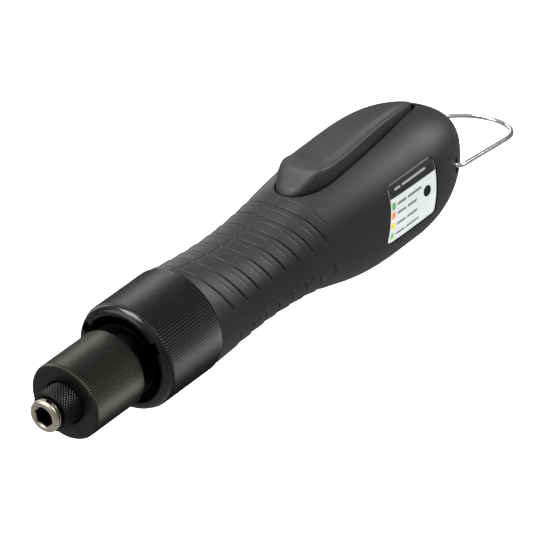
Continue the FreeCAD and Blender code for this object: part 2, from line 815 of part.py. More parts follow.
def make_motor():
    """Can, end cap, two bearings, stator with its windings, and the rotor on its shaft."""
    front = D.motor_start
    end = front + D.motor_length
    cap_start = end - D.motor_cap
    seat = D.motor_bearing_radius + D.running_fit
    web = D.motor_web
    can_bore = D.motor_radius - D.motor_wall
    shaft_hole = D.motor_shaft_radius + D.motor_shaft_gap
    turned("motor_can", [
        (front, shaft_hole), (front, D.motor_radius), (cap_start, D.motor_radius), (cap_start, can_bore),
        (front + D.motor_cap, can_bore), (front + D.motor_cap, seat + web),
        (front + D.motor_cap + 1, seat + web), (front + D.motor_cap + 1, seat), (front + web, seat),
        (front + web, shaft_hole)])
    turned("motor_end_cap", [
        (cap_start - 1, seat), (cap_start - 1, seat + web), (cap_start, seat + web),
        (cap_start, D.motor_radius), (end, D.motor_radius), (end, shaft_hole), (end - web, shaft_hole),
        (end - web, seat)])
    inner = D.motor_shaft_radius + D.running_fit
    bearings = []
    for index, start in enumerate((front + web, end - web - D.motor_bearing_width)):
        outside = cylinder(f"bearing_outside_{index}", D.motor_bearing_radius, D.motor_bearing_width,
                           (start, 0, 0))
        inside = cylinder(f"bearing_inside_{index}", inner, D.motor_bearing_width, (start, 0, 0))
        bearings.append(cut(f"bearing_{index}", outside, inside))
    group("motor_bearings", bearings)
    stator_outer = D.motor_radius.value - D.motor_wall.value - D.running_fit.value
    yoke = 1.6
    start, length = D.stator_start.value, D.stator_length.value
    stator = bar_shape(stator_outer, start, length).cut(bar_shape(stator_outer - yoke, start, length))
    bore = bar_shape(D.stator_bore.value, start, length)
    windings = []
    slots = int(D.stator_slots.value)
    for slot in range(slots):
        turn = (Vector(), Vector(1, 0, 0), 360 * slot / slots)
        half = D.stator_tooth.value / 2
        tooth = Part.makeBox(length, 2 * half, stator_outer - yoke / 2, Vector(start, -half, 0))
        tooth.rotate(*turn)
        stator = stator.fuse(tooth)
        coil_low = D.stator_bore.value + 0.5
        coil_high = stator_outer - yoke - 0.3
        outside = Part.makeBox(length + 3, 2 * half + 1.6, coil_high - coil_low,
                               Vector(start - 1.5, -half - 0.8, coil_low))
        inside = Part.makeBox(length + 0.2, 2 * half + 0.2, coil_high - coil_low,
                              Vector(start - 0.1, -half - 0.1, coil_low))
        winding = outside.cut(inside)
        winding.rotate(*turn)
        windings.append(winding)
    keep(feature("stator_core", stator.cut(bore)), "stator_core")
    keep(feature("stator_windings", Part.makeCompound(windings)), "stator_windings")
    rotor = cylinder("rotor_outside", D.rotor_radius, D.stator_length - 1, (D.stator_start + 0.5, 0, 0))
    rotor_hole = cylinder("rotor_hole", D.motor_shaft_radius, D.stator_length, (D.stator_start, 0, 0))
    keep(cut("rotor_magnet", rotor, rotor_hole), "rotor_magnet")
    sun_start = stage_start(1)
    sun = slice_along(gear_face(int(D.sun_teeth.value)), sun_start, D.gear_width.value + 0.6)
    shaft = bar_shape(D.motor_shaft_radius.value, sun_start, end.value - 0.2 - sun_start)
    keep(feature("motor_shaft", shaft.fuse(sun)), "motor_shaft")


# Knurled collar and glossy nose ring

def make_collar():
    """The knurled collar that holds case and housing together, the nose ring and its index pin."""
    bore = D.neck_radius + D.slip_fit
    end = D.collar_end - D.running_fit
    collar = turned("front_collar", [
        (D.collar_start, bore), (D.collar_start, D.collar_radius - D.collar_chamfer),
        (D.collar_start + D.collar_chamfer, D.collar_radius), (end, D.collar_radius), (end, bore)])
    knurl(collar, "collar", D.collar_radius, D.collar_tooth_depth, number(D.collar_teeth),
          D.collar_start + D.collar_chamfer, D.collar_end - D.collar_start)
    spigot_end = D.case_flange_start - D.running_fit
    spigot_radius = D.nose_bore + D.nose_wall
    collar_face = D.collar_start - D.running_fit
    rounding = 0.6
    ring = turned("nose_ring_blank", [
        (D.nose_start, D.nose_bore + rounding), (D.nose_start, D.nose_crest_radius),
        (D.nose_start + rounding, D.nose_crest_radius + rounding), (collar_face, D.nose_radius),
        (collar_face, spigot_radius), (spigot_end, spigot_radius), (spigot_end, D.nose_bore),
        (D.nose_start + rounding * 1.5, D.nose_bore)])
    parts.pop("nose_ring_blank")
    half = D.nose_slot_width / 2
    slot = prism_pocket(ring, "nose_slot", [
        (-half, -D.nose_radius - 1), (half, -D.nose_radius - 1), (half, -D.nose_bore + 1),
        (-half, -D.nose_bore + 1)], D.nose_start, D.nose_slot_depth)
    repeat_round(ring, "nose_slots", slot, 3)
    pin_angle = 40
    pin_place = D.case_flange_start - 3.4
    hole = radial_bar("index_pin_hole", 0.85, pin_place, pin_angle, D.nose_bore - 0.5, D.nose_radius)
    keep(cut("nose_ring", ring, hole), "nose_ring")
    pin = radial_bar("index_pin", 0.8, pin_place, pin_angle, D.nose_bore - 0.7, spigot_radius)
    keep(pin, "index_pin")


# Start lever

def lever_half_width(along, grow):
    """Half width of the lever in plan: an ellipse at the nose and a slow taper to the tail."""
    half = D.lever_width.value / 2 + grow
    shoulder = D.lever_shoulder.value
    nose = D.lever_nose.value - grow
    tail = D.lever_tail.value + grow
    if along < shoulder:
        return half * math.sqrt(max(0.0, 1 - ((shoulder - along) / (shoulder - nose)) ** 2))
    return half * max(0.0, 1 - ((along - shoulder) / (tail - shoulder)) ** 2) ** 0.72


def lever_plan(name, grow, low, high):
    """The lever's outline in plan, grown by a gap, carried up from low to high."""
    nose = D.lever_nose.value - grow
    tail = D.lever_tail.value + grow
    shoulder = D.lever_shoulder.value
    stations = [shoulder - (shoulder - nose) * math.cos(math.radians(angle)) for angle in (15, 35, 60)]
    stations += [shoulder + (tail - shoulder) * share for share in (0.0, 0.25, 0.5, 0.72, 0.88, 0.97)]
    near = [Vector(along, -lever_half_width(along, grow), low) for along in stations]
    far = [Vector(along, lever_half_width(along, grow), low) for along in reversed(stations)]
    curve = Part.BSplineCurve()
    curve.interpolate(Points=[Vector(nose, 0, low), *near, Vector(tail, 0, low), *far], PeriodicFlag=True)
    face = Part.Face(Part.Wire(curve.toShape()))
    return feature(name, face.extrude(Vector(0, 0, high - low)))


def make_lever():
    """The start lever: a long dished paddle that turns on a pin near the tail."""
    low = D.lever_bottom.value
    plan = lever_plan("lever_plan_form", 0.0, low, D.lever_top.value + 6)
    sections = []
    tops = ((-1.5, -7.3), (0.6, -5.2), (4.2, -1.9), (11.4, -0.2), (21.0, -0.9), (34.0, -0.5), (46.0, -1.2),
            (58.0, -3.6), (66.0, -5.9), (73.0, -8.6))
    for index, (along, drop) in enumerate(tops):
        place = D.lever_nose.value + along
        crest = D.lever_top.value + drop
        side = D.lever_width.value
        dish = D.lever_dish.value * 3.2 if 4 < along < 60 else D.lever_dish.value * 1.5
        arc = Part.Arc(Vector(place, -side, crest + dish), Vector(place, 0, crest - D.lever_dish.value),
                       Vector(place, side, crest + dish)).toShape()
        floor = [Vector(place, side, crest + dish), Vector(place, side, low - D.lever_overlap.value),
                 Vector(place, -side, low - D.lever_overlap.value), Vector(place, -side, crest + dish)]
        edges = [arc] + [Part.LineSegment(*pair).toShape() for pair in zip(floor, floor[1:])]
        sections.append(feature(f"lever_section_{index}", Part.Wire(edges)))
    top_form = doc.addObject("Part::Loft", "lever_top_form")
    top_form.Sections = sections
    top_form.Solid = True
    paddle = common("lever_paddle", plan, top_form)
    hollow = lever_plan("lever_hollow", -D.wall.value, low - D.lever_overlap.value,
                        low + D.lever_hollow_depth.value)
    hollow_limit = block("lever_hollow_limit", (D.lever_nose + 5, -20, D.lever_bottom - 2),
                         (D.lever_pivot_x - D.lever_nose - 10, 40, 20))
    pin_hole = cylinder("lever_pin_hole", D.lever_pin_radius + D.running_fit, 40,
                        (D.lever_pivot_x, -20, D.lever_pivot_z), "Y")
    shell = cut("lever_shell", paddle, common("lever_hollow_form", hollow, hollow_limit), pin_hole)
    plunger_top = D.shelf_top + D.micro_height + D.plunger_height
    rib_top = D.lever_bottom + D.lever_hollow_depth + D.lever_overlap
    rib_corner = (D.lever_rib_x - D.lever_rib_half, -D.lever_rib_side, plunger_top + D.running_fit)
    rib = block("lever_rib", rib_corner,
                (2 * D.lever_rib_half, 2 * D.lever_rib_side, rib_top - plunger_top))
    toe = block("lever_toe", (D.lever_nose - D.lever_toe, -D.lever_toe_half, D.lever_bottom),
                (D.lever_toe + 2 * D.wall, 2 * D.lever_toe_half, D.lever_toe_height))
    keep(fuse("start_lever", shell, rib, toe), "start_lever")
    pin = cylinder("lever_pin", D.lever_pin_radius, D.lever_pin_length,
                   (D.lever_pivot_x, -D.lever_pin_length / 2, D.lever_pivot_z), "Y")
    keep(pin, "lever_pin")
    wire = D.lever_spring_wire.value
    low = D.shelf_top.value + wire / 2 + D.running_fit.value
    high = D.lever_bottom.value + D.lever_hollow_depth.value - wire / 2 - D.slip_fit.value
    coil("lever_spring", wire, D.lever_spring_radius.value, high - low, D.lever_spring_turns.value,
         Vector(D.lever_spring_x.value, 0, low), "Z")


# Moulded housing in two halves

def station_at(along):
    """The housing's section figures at a place along X, read between its stations."""
    stations = all_stations()
    for near, far in zip(stations, stations[1:]):
        if near[0] <= along <= far[0]:
            share = (along - near[0]) / (far[0] - near[0])
            return tuple(low + (high - low) * share for low, high in zip(near, far))
    raise ValueError(f"no section at {along}")


def section_bar(along, inset, start, end):
    """A straight bar with the housing's section at one place, drawn in by the inset."""
    section = section_wire(station_at(along), inset)
    section.translate(Vector(start - along, 0, 0))
    return Part.Face(section).extrude(Vector(end - start, 0, 0))


def groove_tools():
    """The grip's finger grooves: leaning slices above the seam, and below it slices with a hook."""
    slant = math.tan(math.radians(D.groove_lean.value))
    reach = 2 * GRIP_REACH
    width = D.groove_width.value
    tools = []
    for index in range(int(D.groove_count.value)):
        foot = D.groove_first.value + index * D.groove_pitch.value
        low = D.groove_upper_end.value
        run = slant * (GRIP_REACH - low)
        upper = [(foot, low), (foot + width, low), (foot + width - run, GRIP_REACH), (foot - run, GRIP_REACH)]
        foot += D.groove_lower_shift.value
        high = -D.groove_lower_end.value
        hook = foot + D.groove_hook.value
        run = slant * (GRIP_REACH + high)
        lower = [(hook, high), (foot, high), (foot + run, -GRIP_REACH), (foot + run + width, -GRIP_REACH),
                 (foot + width, high - width), (hook, high - width)]
        for name, points, shift in (("upper", upper, -3), ("lower", lower, 2)):
            slab = prism(f"groove_{name}_{index}", points, -GRIP_REACH, reach, "Y").Shape
            core = section_bar(foot + shift, D.groove_depth.value, foot - reach / 2, foot + reach / 2)
            tools.append(feature(f"groove_{name}_cut_{index}", slab.cut(core)))
    return tools


def label_prism(name, grow):
    """The label's outline with rounded corners, carried along -Y through the side wall."""
    middle_x = sum(corner[0] for corner in LABEL_CORNERS) / len(LABEL_CORNERS)
    middle_z = sum(corner[1] for corner in LABEL_CORNERS) / len(LABEL_CORNERS)
    points = [(x + math.copysign(grow, x - middle_x), z + math.copysign(grow, z - middle_z))
              for x, z in LABEL_CORNERS]
    block_form = prism(f"{name}_sharp", points, -26, 14, "Y")
    edges = [edge for edge in block_form.Shape.Edges
             if abs(edge.tangentAt(edge.FirstParameter).y) > 0.99]
    return feature(name, block_form.Shape.makeFillet(D.label_corner.value + grow, edges))


def housing_posts():
    """Webs that hold the motor, and the posts for screws, board, lever pin, bail and socket."""
    far = HOUSING_REACH
    posts = []
    for index, place in enumerate(MOTOR_WEBS):
        web = block(f"motor_web_{index}", (place, -far, -far), (D.rib_width, 2 * far, 2 * far))
        posts.append(cut(f"motor_web_ring_{index}", web,
                         cylinder(f"motor_web_bore_{index}", D.motor_radius + D.slip_fit, far * 2,
                                  (place - far, 0, 0))))
    for index, (x, z) in enumerate(SCREW_PLACES):
        posts.append(cylinder(f"screw_post_{index}", D.boss_radius, 2 * far, (x, -far, z), "Y"))
    for index, x in enumerate((D.board_x + 4, D.board_x + D.board_length - 4)):
        posts.append(cylinder(f"board_post_{index}", D.board_post_radius, far,
                              (x, -D.board_y - far - D.running_fit, -6), "Y"))
    tongue_end = D.bail_half_width - D.bail_tongue + D.slip_fit
    for name, x, z, start in (("pin", D.lever_pivot_x, D.lever_pivot_z, D.lever_cheek),
                              ("bail", D.bail_x, D.bail_z, tongue_end)):
        posts.append(cylinder(f"{name}_post_left", D.boss_radius, far, (x, -far - start, z), "Y"))
        posts.append(cylinder(f"{name}_post_right", D.boss_radius, far, (x, start, z), "Y"))
    posts.append(cylinder("socket_post", D.socket_radius + D.wall, D.socket_length,
                          (D.tail_end - D.socket_length, 0, 0)))
    return posts


def housing_cuts():
    """Openings that both halves share: bores, the lever's opening, bail slots and grip grooves."""
    far = HOUSING_REACH
    fit = D.running_fit / 2
    cuts = [cylinder("case_bore_cut", D.case_radius + D.slip_fit, D.collar_end + D.wall * 2, (0, 0, 0)),
            lever_plan("lever_opening", D.lever_gap.value, D.lever_bottom.value - 0.6, 40),
            cylinder("pin_bore", D.lever_pin_radius + fit, D.lever_pin_length + fit * 2,
                     (D.lever_pivot_x, -D.lever_pin_length / 2 - fit, D.lever_pivot_z), "Y"),
            cylinder("socket_hole", D.socket_radius + D.running_fit, 2 * far, (D.tail_end - far, 0, 0)),
            cylinder("bail_hole", D.bail_wire + D.running_fit, 2 * far, (D.bail_x, -far, D.bail_z), "Y")]
    slot_width = (D.bail_wire + D.slip_fit) * 2
    slot_inner = D.bail_half_width - D.bail_slot_depth
    for side, start in (("left", -far - slot_inner), ("right", slot_inner)):
        cuts.append(block(f"bail_slot_{side}",
                          (D.bail_x - slot_width / 2, start, D.bail_z - D.bail_slot_height / 2),
                          (slot_width, far, D.bail_slot_height)))
    for index, (x, z) in enumerate(SCREW_PLACES):
        cuts.append(cylinder(f"screw_bore_{index}", D.screw_radius + D.running_fit, D.screw_length,
                             (x, D.screw_seat - D.screw_length, z), "Y"))
    return cuts + groove_tools()


def make_housing():
    """Both halves of the moulded housing with their neck, webs, posts and openings."""
    far = HOUSING_REACH
    outer = common("outer_trimmed", moulded_form("outer_form", 0.0),
                   block("outer_limit", (0, -far, -far), (D.tail_end, 2 * far, 2 * far)))
    inner_front = D.collar_end + D.wall
    inner = common("inner_trimmed", moulded_form("inner_form", D.wall.value),
                   block("inner_limit", (inner_front, -far, -far),
                         (D.tail_end - D.wall - inner_front, 2 * far, 2 * far)))
    neck_start = D.case_flange_start + D.case_flange_width + D.running_fit
    neck = cylinder("neck", D.neck_radius, inner_front - neck_start, (neck_start, 0, 0))
    posts = common("inside_form", fuse("inside_parts", *housing_posts()), outer)
    body = fuse("housing_form", cut("hollow_shell", outer, inner), neck, posts)

    shared = housing_cuts()
    label_recess = cut("label_recess", label_prism("label_opening", D.label_gap.value),
                       moulded_form("label_floor", D.label_depth.value))
    lens_hole = cylinder("lens_hole", D.lens_radius + D.slip_fit / 2, far, (D.lens_x, -far, D.lens_z), "Y")
    direction_slot = block("direction_slot", (D.direction_x - D.direction_slot / 2, D.direction_side - 1,
                                              D.direction_z - D.direction_slot_height / 2),
                           (D.direction_slot, far, D.direction_slot_height))
    heads = [cylinder(f"screw_head_bore_{index}", D.screw_head_radius + D.slip_fit, far,
                      (x, D.screw_seat, z), "Y") for index, (x, z) in enumerate(SCREW_PLACES)]
    half_gap = D.split_gap / 2
    long = 2 * D.tail_end
    for side, start, own in (("left", -far - half_gap, [label_recess, lens_hole]),
                             ("right", half_gap, [direction_slot, *heads])):
        half = block(f"{side}_side", (0, start, -far), (long, far, 2 * far))
        doc.recompute()
        shape = body.Shape.common(half.Shape).cut([tool.Shape for tool in shared + own])
        keep(feature(f"housing_{side}", shape), f"housing_{side}")
    make_screws()


def make_screws():
    screws = []
    seat = D.screw_seat
    shank_length = D.screw_length - D.slip_fit
    for index, (x, z) in enumerate(SCREW_PLACES):
        shank = cylinder(f"screw_shank_{index}", D.screw_radius, shank_length,
                         (x, seat - shank_length, z), "Y")
        head = cylinder(f"screw_head_{index}", D.screw_head_radius, D.screw_head_height,
                        (x, seat, z), "Y")
        socket = cylinder(f"screw_socket_{index}", D.screw_radius * 0.8, D.screw_head_height,
                          (x, seat + D.screw_head_height / 2, z), "Y")
        screws.append(cut(f"screw_{index}", fuse(f"screw_blank_{index}", shank, head), socket))
    group("housing_screws", screws)


# Label, lens, lamp and control board

def make_label():
    """The label plate with the curve of the housing, the lens in it and the lamp behind."""
    plate_outline = label_prism("label_outline", 0.0)
    plate = common("label_skin_form", plate_outline, moulded_form("label_skin_surface", D.label_skin.value))
    hole = cylinder("label_lens_hole", D.lens_radius + D.slip_fit / 2, 30, (D.lens_x, -30, D.lens_z), "Y")
    back = moulded_form("label_back", D.label_depth.value - D.running_fit.value)
    keep(cut("label_plate", plate, back, hole), "label_plate")
    lens_back = D.board_y + D.lamp_height + 0.3
    bar = cylinder("lens_bar", D.lens_radius, 12, (D.lens_x, -lens_back - 12, D.lens_z), "Y")
    keep(common("status_lens", bar, moulded_form("lens_surface", D.running_fit.value * 2)), "status_lens")
    lamp = cylinder("status_lamp", D.lamp_radius, D.lamp_height,
                    (D.lens_x, -D.board_y - D.lamp_height, D.lens_z), "Y")
    keep(lamp, "status_lamp")


def make_board():
    """The control board with its larger components."""
    board = block("board_plate", (D.board_x, -D.board_y, -D.board_bottom),
                  (D.board_length, D.board_thickness, D.board_height))
    solids = [board]
    face = -D.board_y + D.board_thickness
    for index, (share_x, share_z, length, height, depth) in enumerate(BOARD_PARTS):
        low = (D.board_x + D.board_length * share_x - length / 2, face,
               -D.board_bottom + D.board_height * share_z - height / 2)
        solids.append(block(f"board_part_{index}", low, (length, depth, height)))
    keep(fuse("control_board", *solids), "control_board")


# Switches

def make_switches():
    """The lever's micro switch on its bracket, and the forward and reverse switch in the right half."""
    bracket = block("bracket_plate", (D.lever_spring_x - 5, -D.board_y + 5, D.shelf_top - D.shelf_width),
                    (D.lever_rib_x - D.lever_spring_x + 14, 40, D.shelf_width))
    fitted = moulded_form("bracket_surface", D.wall.value + D.slip_fit.value)
    keep(common("switch_bracket", bracket, fitted), "switch_bracket")
    body = block("micro_body", (D.lever_rib_x - D.micro_length * 0.7, -D.micro_width / 2, D.shelf_top),
                 (D.micro_length, D.micro_width, D.micro_height))
    well = cylinder("micro_well", D.plunger_radius + D.running_fit, 3,
                    (D.lever_rib_x, 0, D.shelf_top + D.micro_height - 2.5), "Z")
    keep(cut("micro_switch", body, well), "micro_switch")
    plunger = cylinder("switch_plunger", D.plunger_radius, D.plunger_height + 1.2,
                       (D.lever_rib_x, 0, D.shelf_top + D.micro_height - 1.2), "Z")
    keep(plunger, "switch_plunger")
    side = D.direction_side
    knob_root = side - D.knob_seat
    case = block("direction_case", (D.direction_x - D.direction_length / 2, side - D.direction_depth,
                                    D.direction_z - D.direction_height / 2),
                 (D.direction_length, D.direction_depth, D.direction_height))
    window = block("direction_window", (D.direction_x - D.direction_slot / 2, knob_root,
                                        D.direction_z - D.direction_slot_height / 2),
                   (D.direction_slot, D.direction_depth, D.direction_slot_height))
    keep(cut("direction_switch", case, window), "direction_switch")
    knob_height = D.direction_slot_height - D.slip_fit * 2
    knob = block("direction_knob", (D.direction_x - D.direction_knob / 2, knob_root,
                                    D.direction_z - knob_height / 2),
                 (D.direction_knob, D.knob_length, knob_height))
    keep(knob, "direction_knob")


# Power socket and hanging bail

def make_socket():
    start = D.tail_end - D.socket_length
    outside = cylinder("socket_outside", D.socket_radius, D.socket_length, (start, 0, 0))
    bore = cylinder("socket_bore_form", D.socket_bore, D.socket_depth, (D.tail_end - D.socket_depth, 0, 0))
    floor = D.tail_end - D.socket_depth
    holes = []
    pins = []
    for index in range(int(D.contact_count.value)):
        angle = 45 * index
        place = round_place(D.contact_circle, angle)
        holes.append(cylinder(f"contact_hole_{index}", D.contact_radius, D.socket_length,
                              (start - 1, *place)))
        pins.append(cylinder(f"contact_{index}", D.contact_radius, D.contact_length,
                             (floor - D.contact_length, *place)))
    keep(cut("power_socket", outside, bore, fuse("contact_holes", *holes)), "power_socket")
    group("socket_contacts", pins)


def rod_along(edge, radius):
    """One piece of round wire: along a straight edge, or round the arc of a bend."""
    start = edge.valueAt(edge.FirstParameter)
    disc = Part.Face(Part.Wire(Part.makeCircle(radius, start, edge.tangentAt(edge.FirstParameter))))
    if isinstance(edge.Curve, Part.Circle):
        span = math.degrees(edge.LastParameter - edge.FirstParameter)
        return disc.revolve(edge.Curve.Center, edge.Curve.Axis, span)
    return disc.extrude(edge.valueAt(edge.LastParameter) - start)


def make_bail():
    """The wire bail: two tongues in the tail's sides, two legs and a round end, each tangent to the next."""
    half, radius, reach = D.bail_half_width.value, D.bail_loop_radius.value, D.bail_leg.value
    distance = math.hypot(reach, half)
    lean = math.asin(radius / distance) - math.asin(half / distance)
    touch = Vector(reach - radius * math.sin(lean), -radius * math.cos(lean), 0)
    corner = Vector(0, -half, 0)
    inward = Vector(0, 1, 0)
    along_leg = (touch - corner).normalize()
    half_turn = inward.getAngle(along_leg) / 2
    middle = (inward + along_leg).normalize()
    bend = D.bail_bend.value
    bend_in = corner + inward * (bend / math.tan(half_turn))
    bend_out = corner + along_leg * (bend / math.tan(half_turn))
    bulge = corner + middle * (bend / math.sin(half_turn) - bend)
    tongue = Vector(0, -half + D.bail_tongue.value, 0)

    def mirrored(point):
        return Vector(point.x, -point.y, 0)

    edges = [Part.LineSegment(tongue, bend_in), Part.Arc(bend_in, bulge, bend_out),
             Part.LineSegment(bend_out, touch),
             Part.Arc(touch, Vector(reach + radius, 0, 0), mirrored(touch)),
             Part.LineSegment(mirrored(touch), mirrored(bend_out)),
             Part.Arc(mirrored(bend_out), mirrored(bulge), mirrored(bend_in)),
             Part.LineSegment(mirrored(bend_in), mirrored(tongue))]
    rods = [rod_along(edge.toShape(), D.bail_wire.value) for edge in edges]
    bail = feature("hanging_bail", rods[0].fuse(rods[1:]))
    bail.Placement = FreeCAD.Placement(Vector(D.bail_x.value, 0, D.bail_z.value),
                                       FreeCAD.Rotation(Vector(0, 1, 0), D.bail_droop.value))
    keep(bail, "hanging_bail")


make_spindle()
make_retaining_ring()
make_sleeve()
make_torque_nut()
make_clutch()
make_gears()
make_motor()
make_collar()
make_lever()
make_housing()
make_label()
make_board()
make_switches()
make_socket()
make_bail()
doc.recompute()

for thing in doc.Objects:
    if "Invalid" in thing.State or "Error" in thing.State:
        raise RuntimeError(f"{thing.Label} failed: {thing.State}")
for label, thing in parts.items():
    if thing.Shape.isNull() or not thing.Shape.isValid():
        raise RuntimeError(f"{label} has no valid shape")

os.makedirs("parts", exist_ok=True)
for label, thing in parts.items():
    thing.Shape.exportStep(f"parts/{label}.step")
print(len(parts), "sub-parts written")
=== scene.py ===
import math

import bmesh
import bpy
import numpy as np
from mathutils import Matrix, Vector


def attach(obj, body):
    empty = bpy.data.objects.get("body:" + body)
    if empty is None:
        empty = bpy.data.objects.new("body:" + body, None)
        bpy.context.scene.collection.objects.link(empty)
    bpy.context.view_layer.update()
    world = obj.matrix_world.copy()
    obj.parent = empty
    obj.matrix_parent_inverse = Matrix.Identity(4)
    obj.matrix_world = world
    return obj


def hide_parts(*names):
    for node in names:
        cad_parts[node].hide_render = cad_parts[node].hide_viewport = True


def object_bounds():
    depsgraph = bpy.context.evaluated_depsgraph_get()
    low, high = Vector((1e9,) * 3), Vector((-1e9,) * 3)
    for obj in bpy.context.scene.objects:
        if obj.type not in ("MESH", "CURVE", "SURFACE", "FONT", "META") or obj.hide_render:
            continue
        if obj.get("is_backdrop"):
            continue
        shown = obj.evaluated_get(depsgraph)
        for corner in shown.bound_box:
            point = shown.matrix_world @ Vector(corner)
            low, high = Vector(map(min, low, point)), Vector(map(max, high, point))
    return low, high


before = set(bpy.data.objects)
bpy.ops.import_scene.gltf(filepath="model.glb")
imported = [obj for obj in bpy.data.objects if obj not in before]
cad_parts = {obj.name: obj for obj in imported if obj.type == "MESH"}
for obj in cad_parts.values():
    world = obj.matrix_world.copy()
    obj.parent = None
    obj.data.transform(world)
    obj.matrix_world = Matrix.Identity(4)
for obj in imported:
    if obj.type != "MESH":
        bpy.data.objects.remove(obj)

# %% [markdown]
# # Electric torque screwdriver
# A straight power tool. In front are a hexagon bit holder with a quick-release sleeve, a knurled torque
# nut and a knurled collar. Behind them is a moulded body with a start lever, a printed label and a wire
# loop to hang it by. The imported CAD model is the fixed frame. Its nodes could simply be painted, but then
# the fine grooves and the rounded edges would be missing. So each visible piece is rebuilt here with finer
# shape, in the same place and the same metres, and the hidden nodes keep their CAD shape.

first_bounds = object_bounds()
MM = 0.001

# %% [markdown]
# ## Shape of the moulded housing
# The real body swells from a slim grip to a full belly and closes in a round tail. It could be sculpted,
# or lofted through drawn curves. Here a few stations say how wide, high and deep it is and how square its
# section is, a smooth curve runs through them, and the tail is a quarter ellipse. Everything that has to
# lie on the body, such as the label and the lamp window, can then ask the same formula where its skin is.

# %% Sections of the housing
# Place along X, half width, height above the axis, depth below it and squareness, in millimetres.
STATIONS = np.array([
    (67.1, 18.6, 18.6, 18.6, 2.0),
    (80.0, 18.0, 16.2, 17.3, 2.15),
    (96.0, 17.4, 14.5, 15.9, 2.3),
    (112.0, 17.6, 15.2, 16.8, 2.3),
    (126.0, 18.5, 17.0, 18.8, 2.3),
    (140.0, 20.0, 18.6, 22.6, 2.3),
    (155.0, 21.1, 19.6, 25.0, 2.3),
    (176.0, 21.3, 19.9, 25.1, 2.3),
])
TAIL_START, TAIL_LENGTH, TAIL_END = 176.0, 35.5, 209.8
print("body", STATIONS[0, 0], "to", TAIL_END, "mm")

# %% Smooth curve through the stations

def spline_slopes(x, y):
    """Slopes of the smooth curve through points, level at its last point."""
    count = len(x)
    gap = np.diff(x)
    matrix = np.zeros((count, count))
    right = np.zeros(count)
    matrix[0, 0], matrix[0, 1] = 2, 1
    right[0] = 3 * (y[1] - y[0]) / gap[0]
    for i in range(1, count - 1):
        matrix[i, i - 1] = 1 / gap[i - 1]
        matrix[i, i] = 2 * (1 / gap[i - 1] + 1 / gap[i])
        matrix[i, i + 1] = 1 / gap[i]
        right[i] = 3 * ((y[i] - y[i - 1]) / gap[i - 1] ** 2 + (y[i + 1] - y[i]) / gap[i] ** 2)
    matrix[-1, -1] = 1
    return np.linalg.solve(matrix, right)


SLOPES = [spline_slopes(STATIONS[:, 0], STATIONS[:, k]) for k in range(1, 5)]
print("curves", len(SLOPES))

# %% Section and side at any place

def section(x):
    """Half width, top, bottom and squareness at places along X, in millimetres."""
    x = np.atleast_1d(np.asarray(x, float))
    at = np.clip(np.searchsorted(STATIONS[:, 0], x, side="right") - 1, 0, len(STATIONS) - 2)
    x0, x1 = STATIONS[at, 0], STATIONS[at + 1, 0]
    gap = x1 - x0
    t = np.clip((x - x0) / gap, 0, 1)
    out = []
    for k in range(4):
        y0, y1 = STATIONS[at, k + 1], STATIONS[at + 1, k + 1]
        m0, m1 = SLOPES[k][at] * gap, SLOPES[k][at + 1] * gap
        out.append((2 * t**3 - 3 * t**2 + 1) * y0 + (t**3 - 2 * t**2 + t) * m0
                   + (3 * t**2 - 2 * t**3) * y1 + (t**3 - t**2) * m1)
    shrink = np.sqrt(np.clip(1 - ((x - TAIL_START) / TAIL_LENGTH) ** 2, 0, 1))
    shrink = np.where(x > TAIL_START, shrink, 1.0)
    return out[0] * shrink, out[1] * shrink, out[2] * shrink, out[3]


def side_reach(x, z, inset=0.0):
    """Distance from the middle plane to the housing's side at a place, in millimetres."""
    half, top, bottom, square = section(x)
    height = np.where(z > 0, top, bottom) - inset
    share = np.clip(np.abs(z) / np.maximum(height, 0.01), 0, 1)
    return (half - inset) * np.clip(1 - share**square, 0, 1) ** (1 / square)


print("widest", float(section(165.0)[0][0]), "mm")

# %% [markdown]
# ## Mesh helpers
# Most pieces of this tool were turned on a lathe, extruded or moulded. Blender's own cylinders and curves
# would do for some of them. Arrays of points are used instead, because then every piece is a closed mesh
# with its place in its points, and its object stays at the origin, unturned and unscaled.

# %% Closed meshes from points

def mesh_object(name, points, faces, smooth=True):
    """An object from points in millimetres, with its normals turned outward."""
    mesh = bpy.data.meshes.new(name)
    mesh.from_pydata([tuple(p) for p in (np.asarray(points) * MM).tolist()], [], faces)
    work = bmesh.new()
    work.from_mesh(mesh)
    bmesh.ops.remove_doubles(work, verts=work.verts, dist=1e-7)
    bmesh.ops.recalc_face_normals(work, faces=work.faces)
    work.to_mesh(mesh)
    work.free()
    mesh.validate()
    thing = bpy.data.objects.new(name, mesh)
    bpy.context.scene.collection.objects.link(thing)
    for face in mesh.polygons:
        face.use_smooth = smooth
    return thing


def grid_faces(rows, columns, closed_rows=False, closed_columns=False):
    faces = []
    for r in range(rows if closed_rows else rows - 1):
        for c in range(columns if closed_columns else columns - 1):
            r2, c2 = (r + 1) % rows, (c + 1) % columns
            faces.append((r * columns + c, r * columns + c2, r2 * columns + c2, r2 * columns + c))
    return faces


# %% Turned pieces and prisms

def lathe(name, profile, steps):
    """A turned piece: a closed profile of (x, radius) in millimetres, spun round the X axis."""
    profile = np.asarray(profile, float)
    angle = np.linspace(0, 2 * math.pi, steps, endpoint=False)
    points = np.stack([
        np.repeat(profile[:, 0][None, :], steps, 0),
        profile[:, 1][None, :] * np.cos(angle)[:, None],
        profile[:, 1][None, :] * np.sin(angle)[:, None]], axis=-1).reshape(-1, 3)
    return mesh_object(name, points, grid_faces(steps, len(profile), True, True))


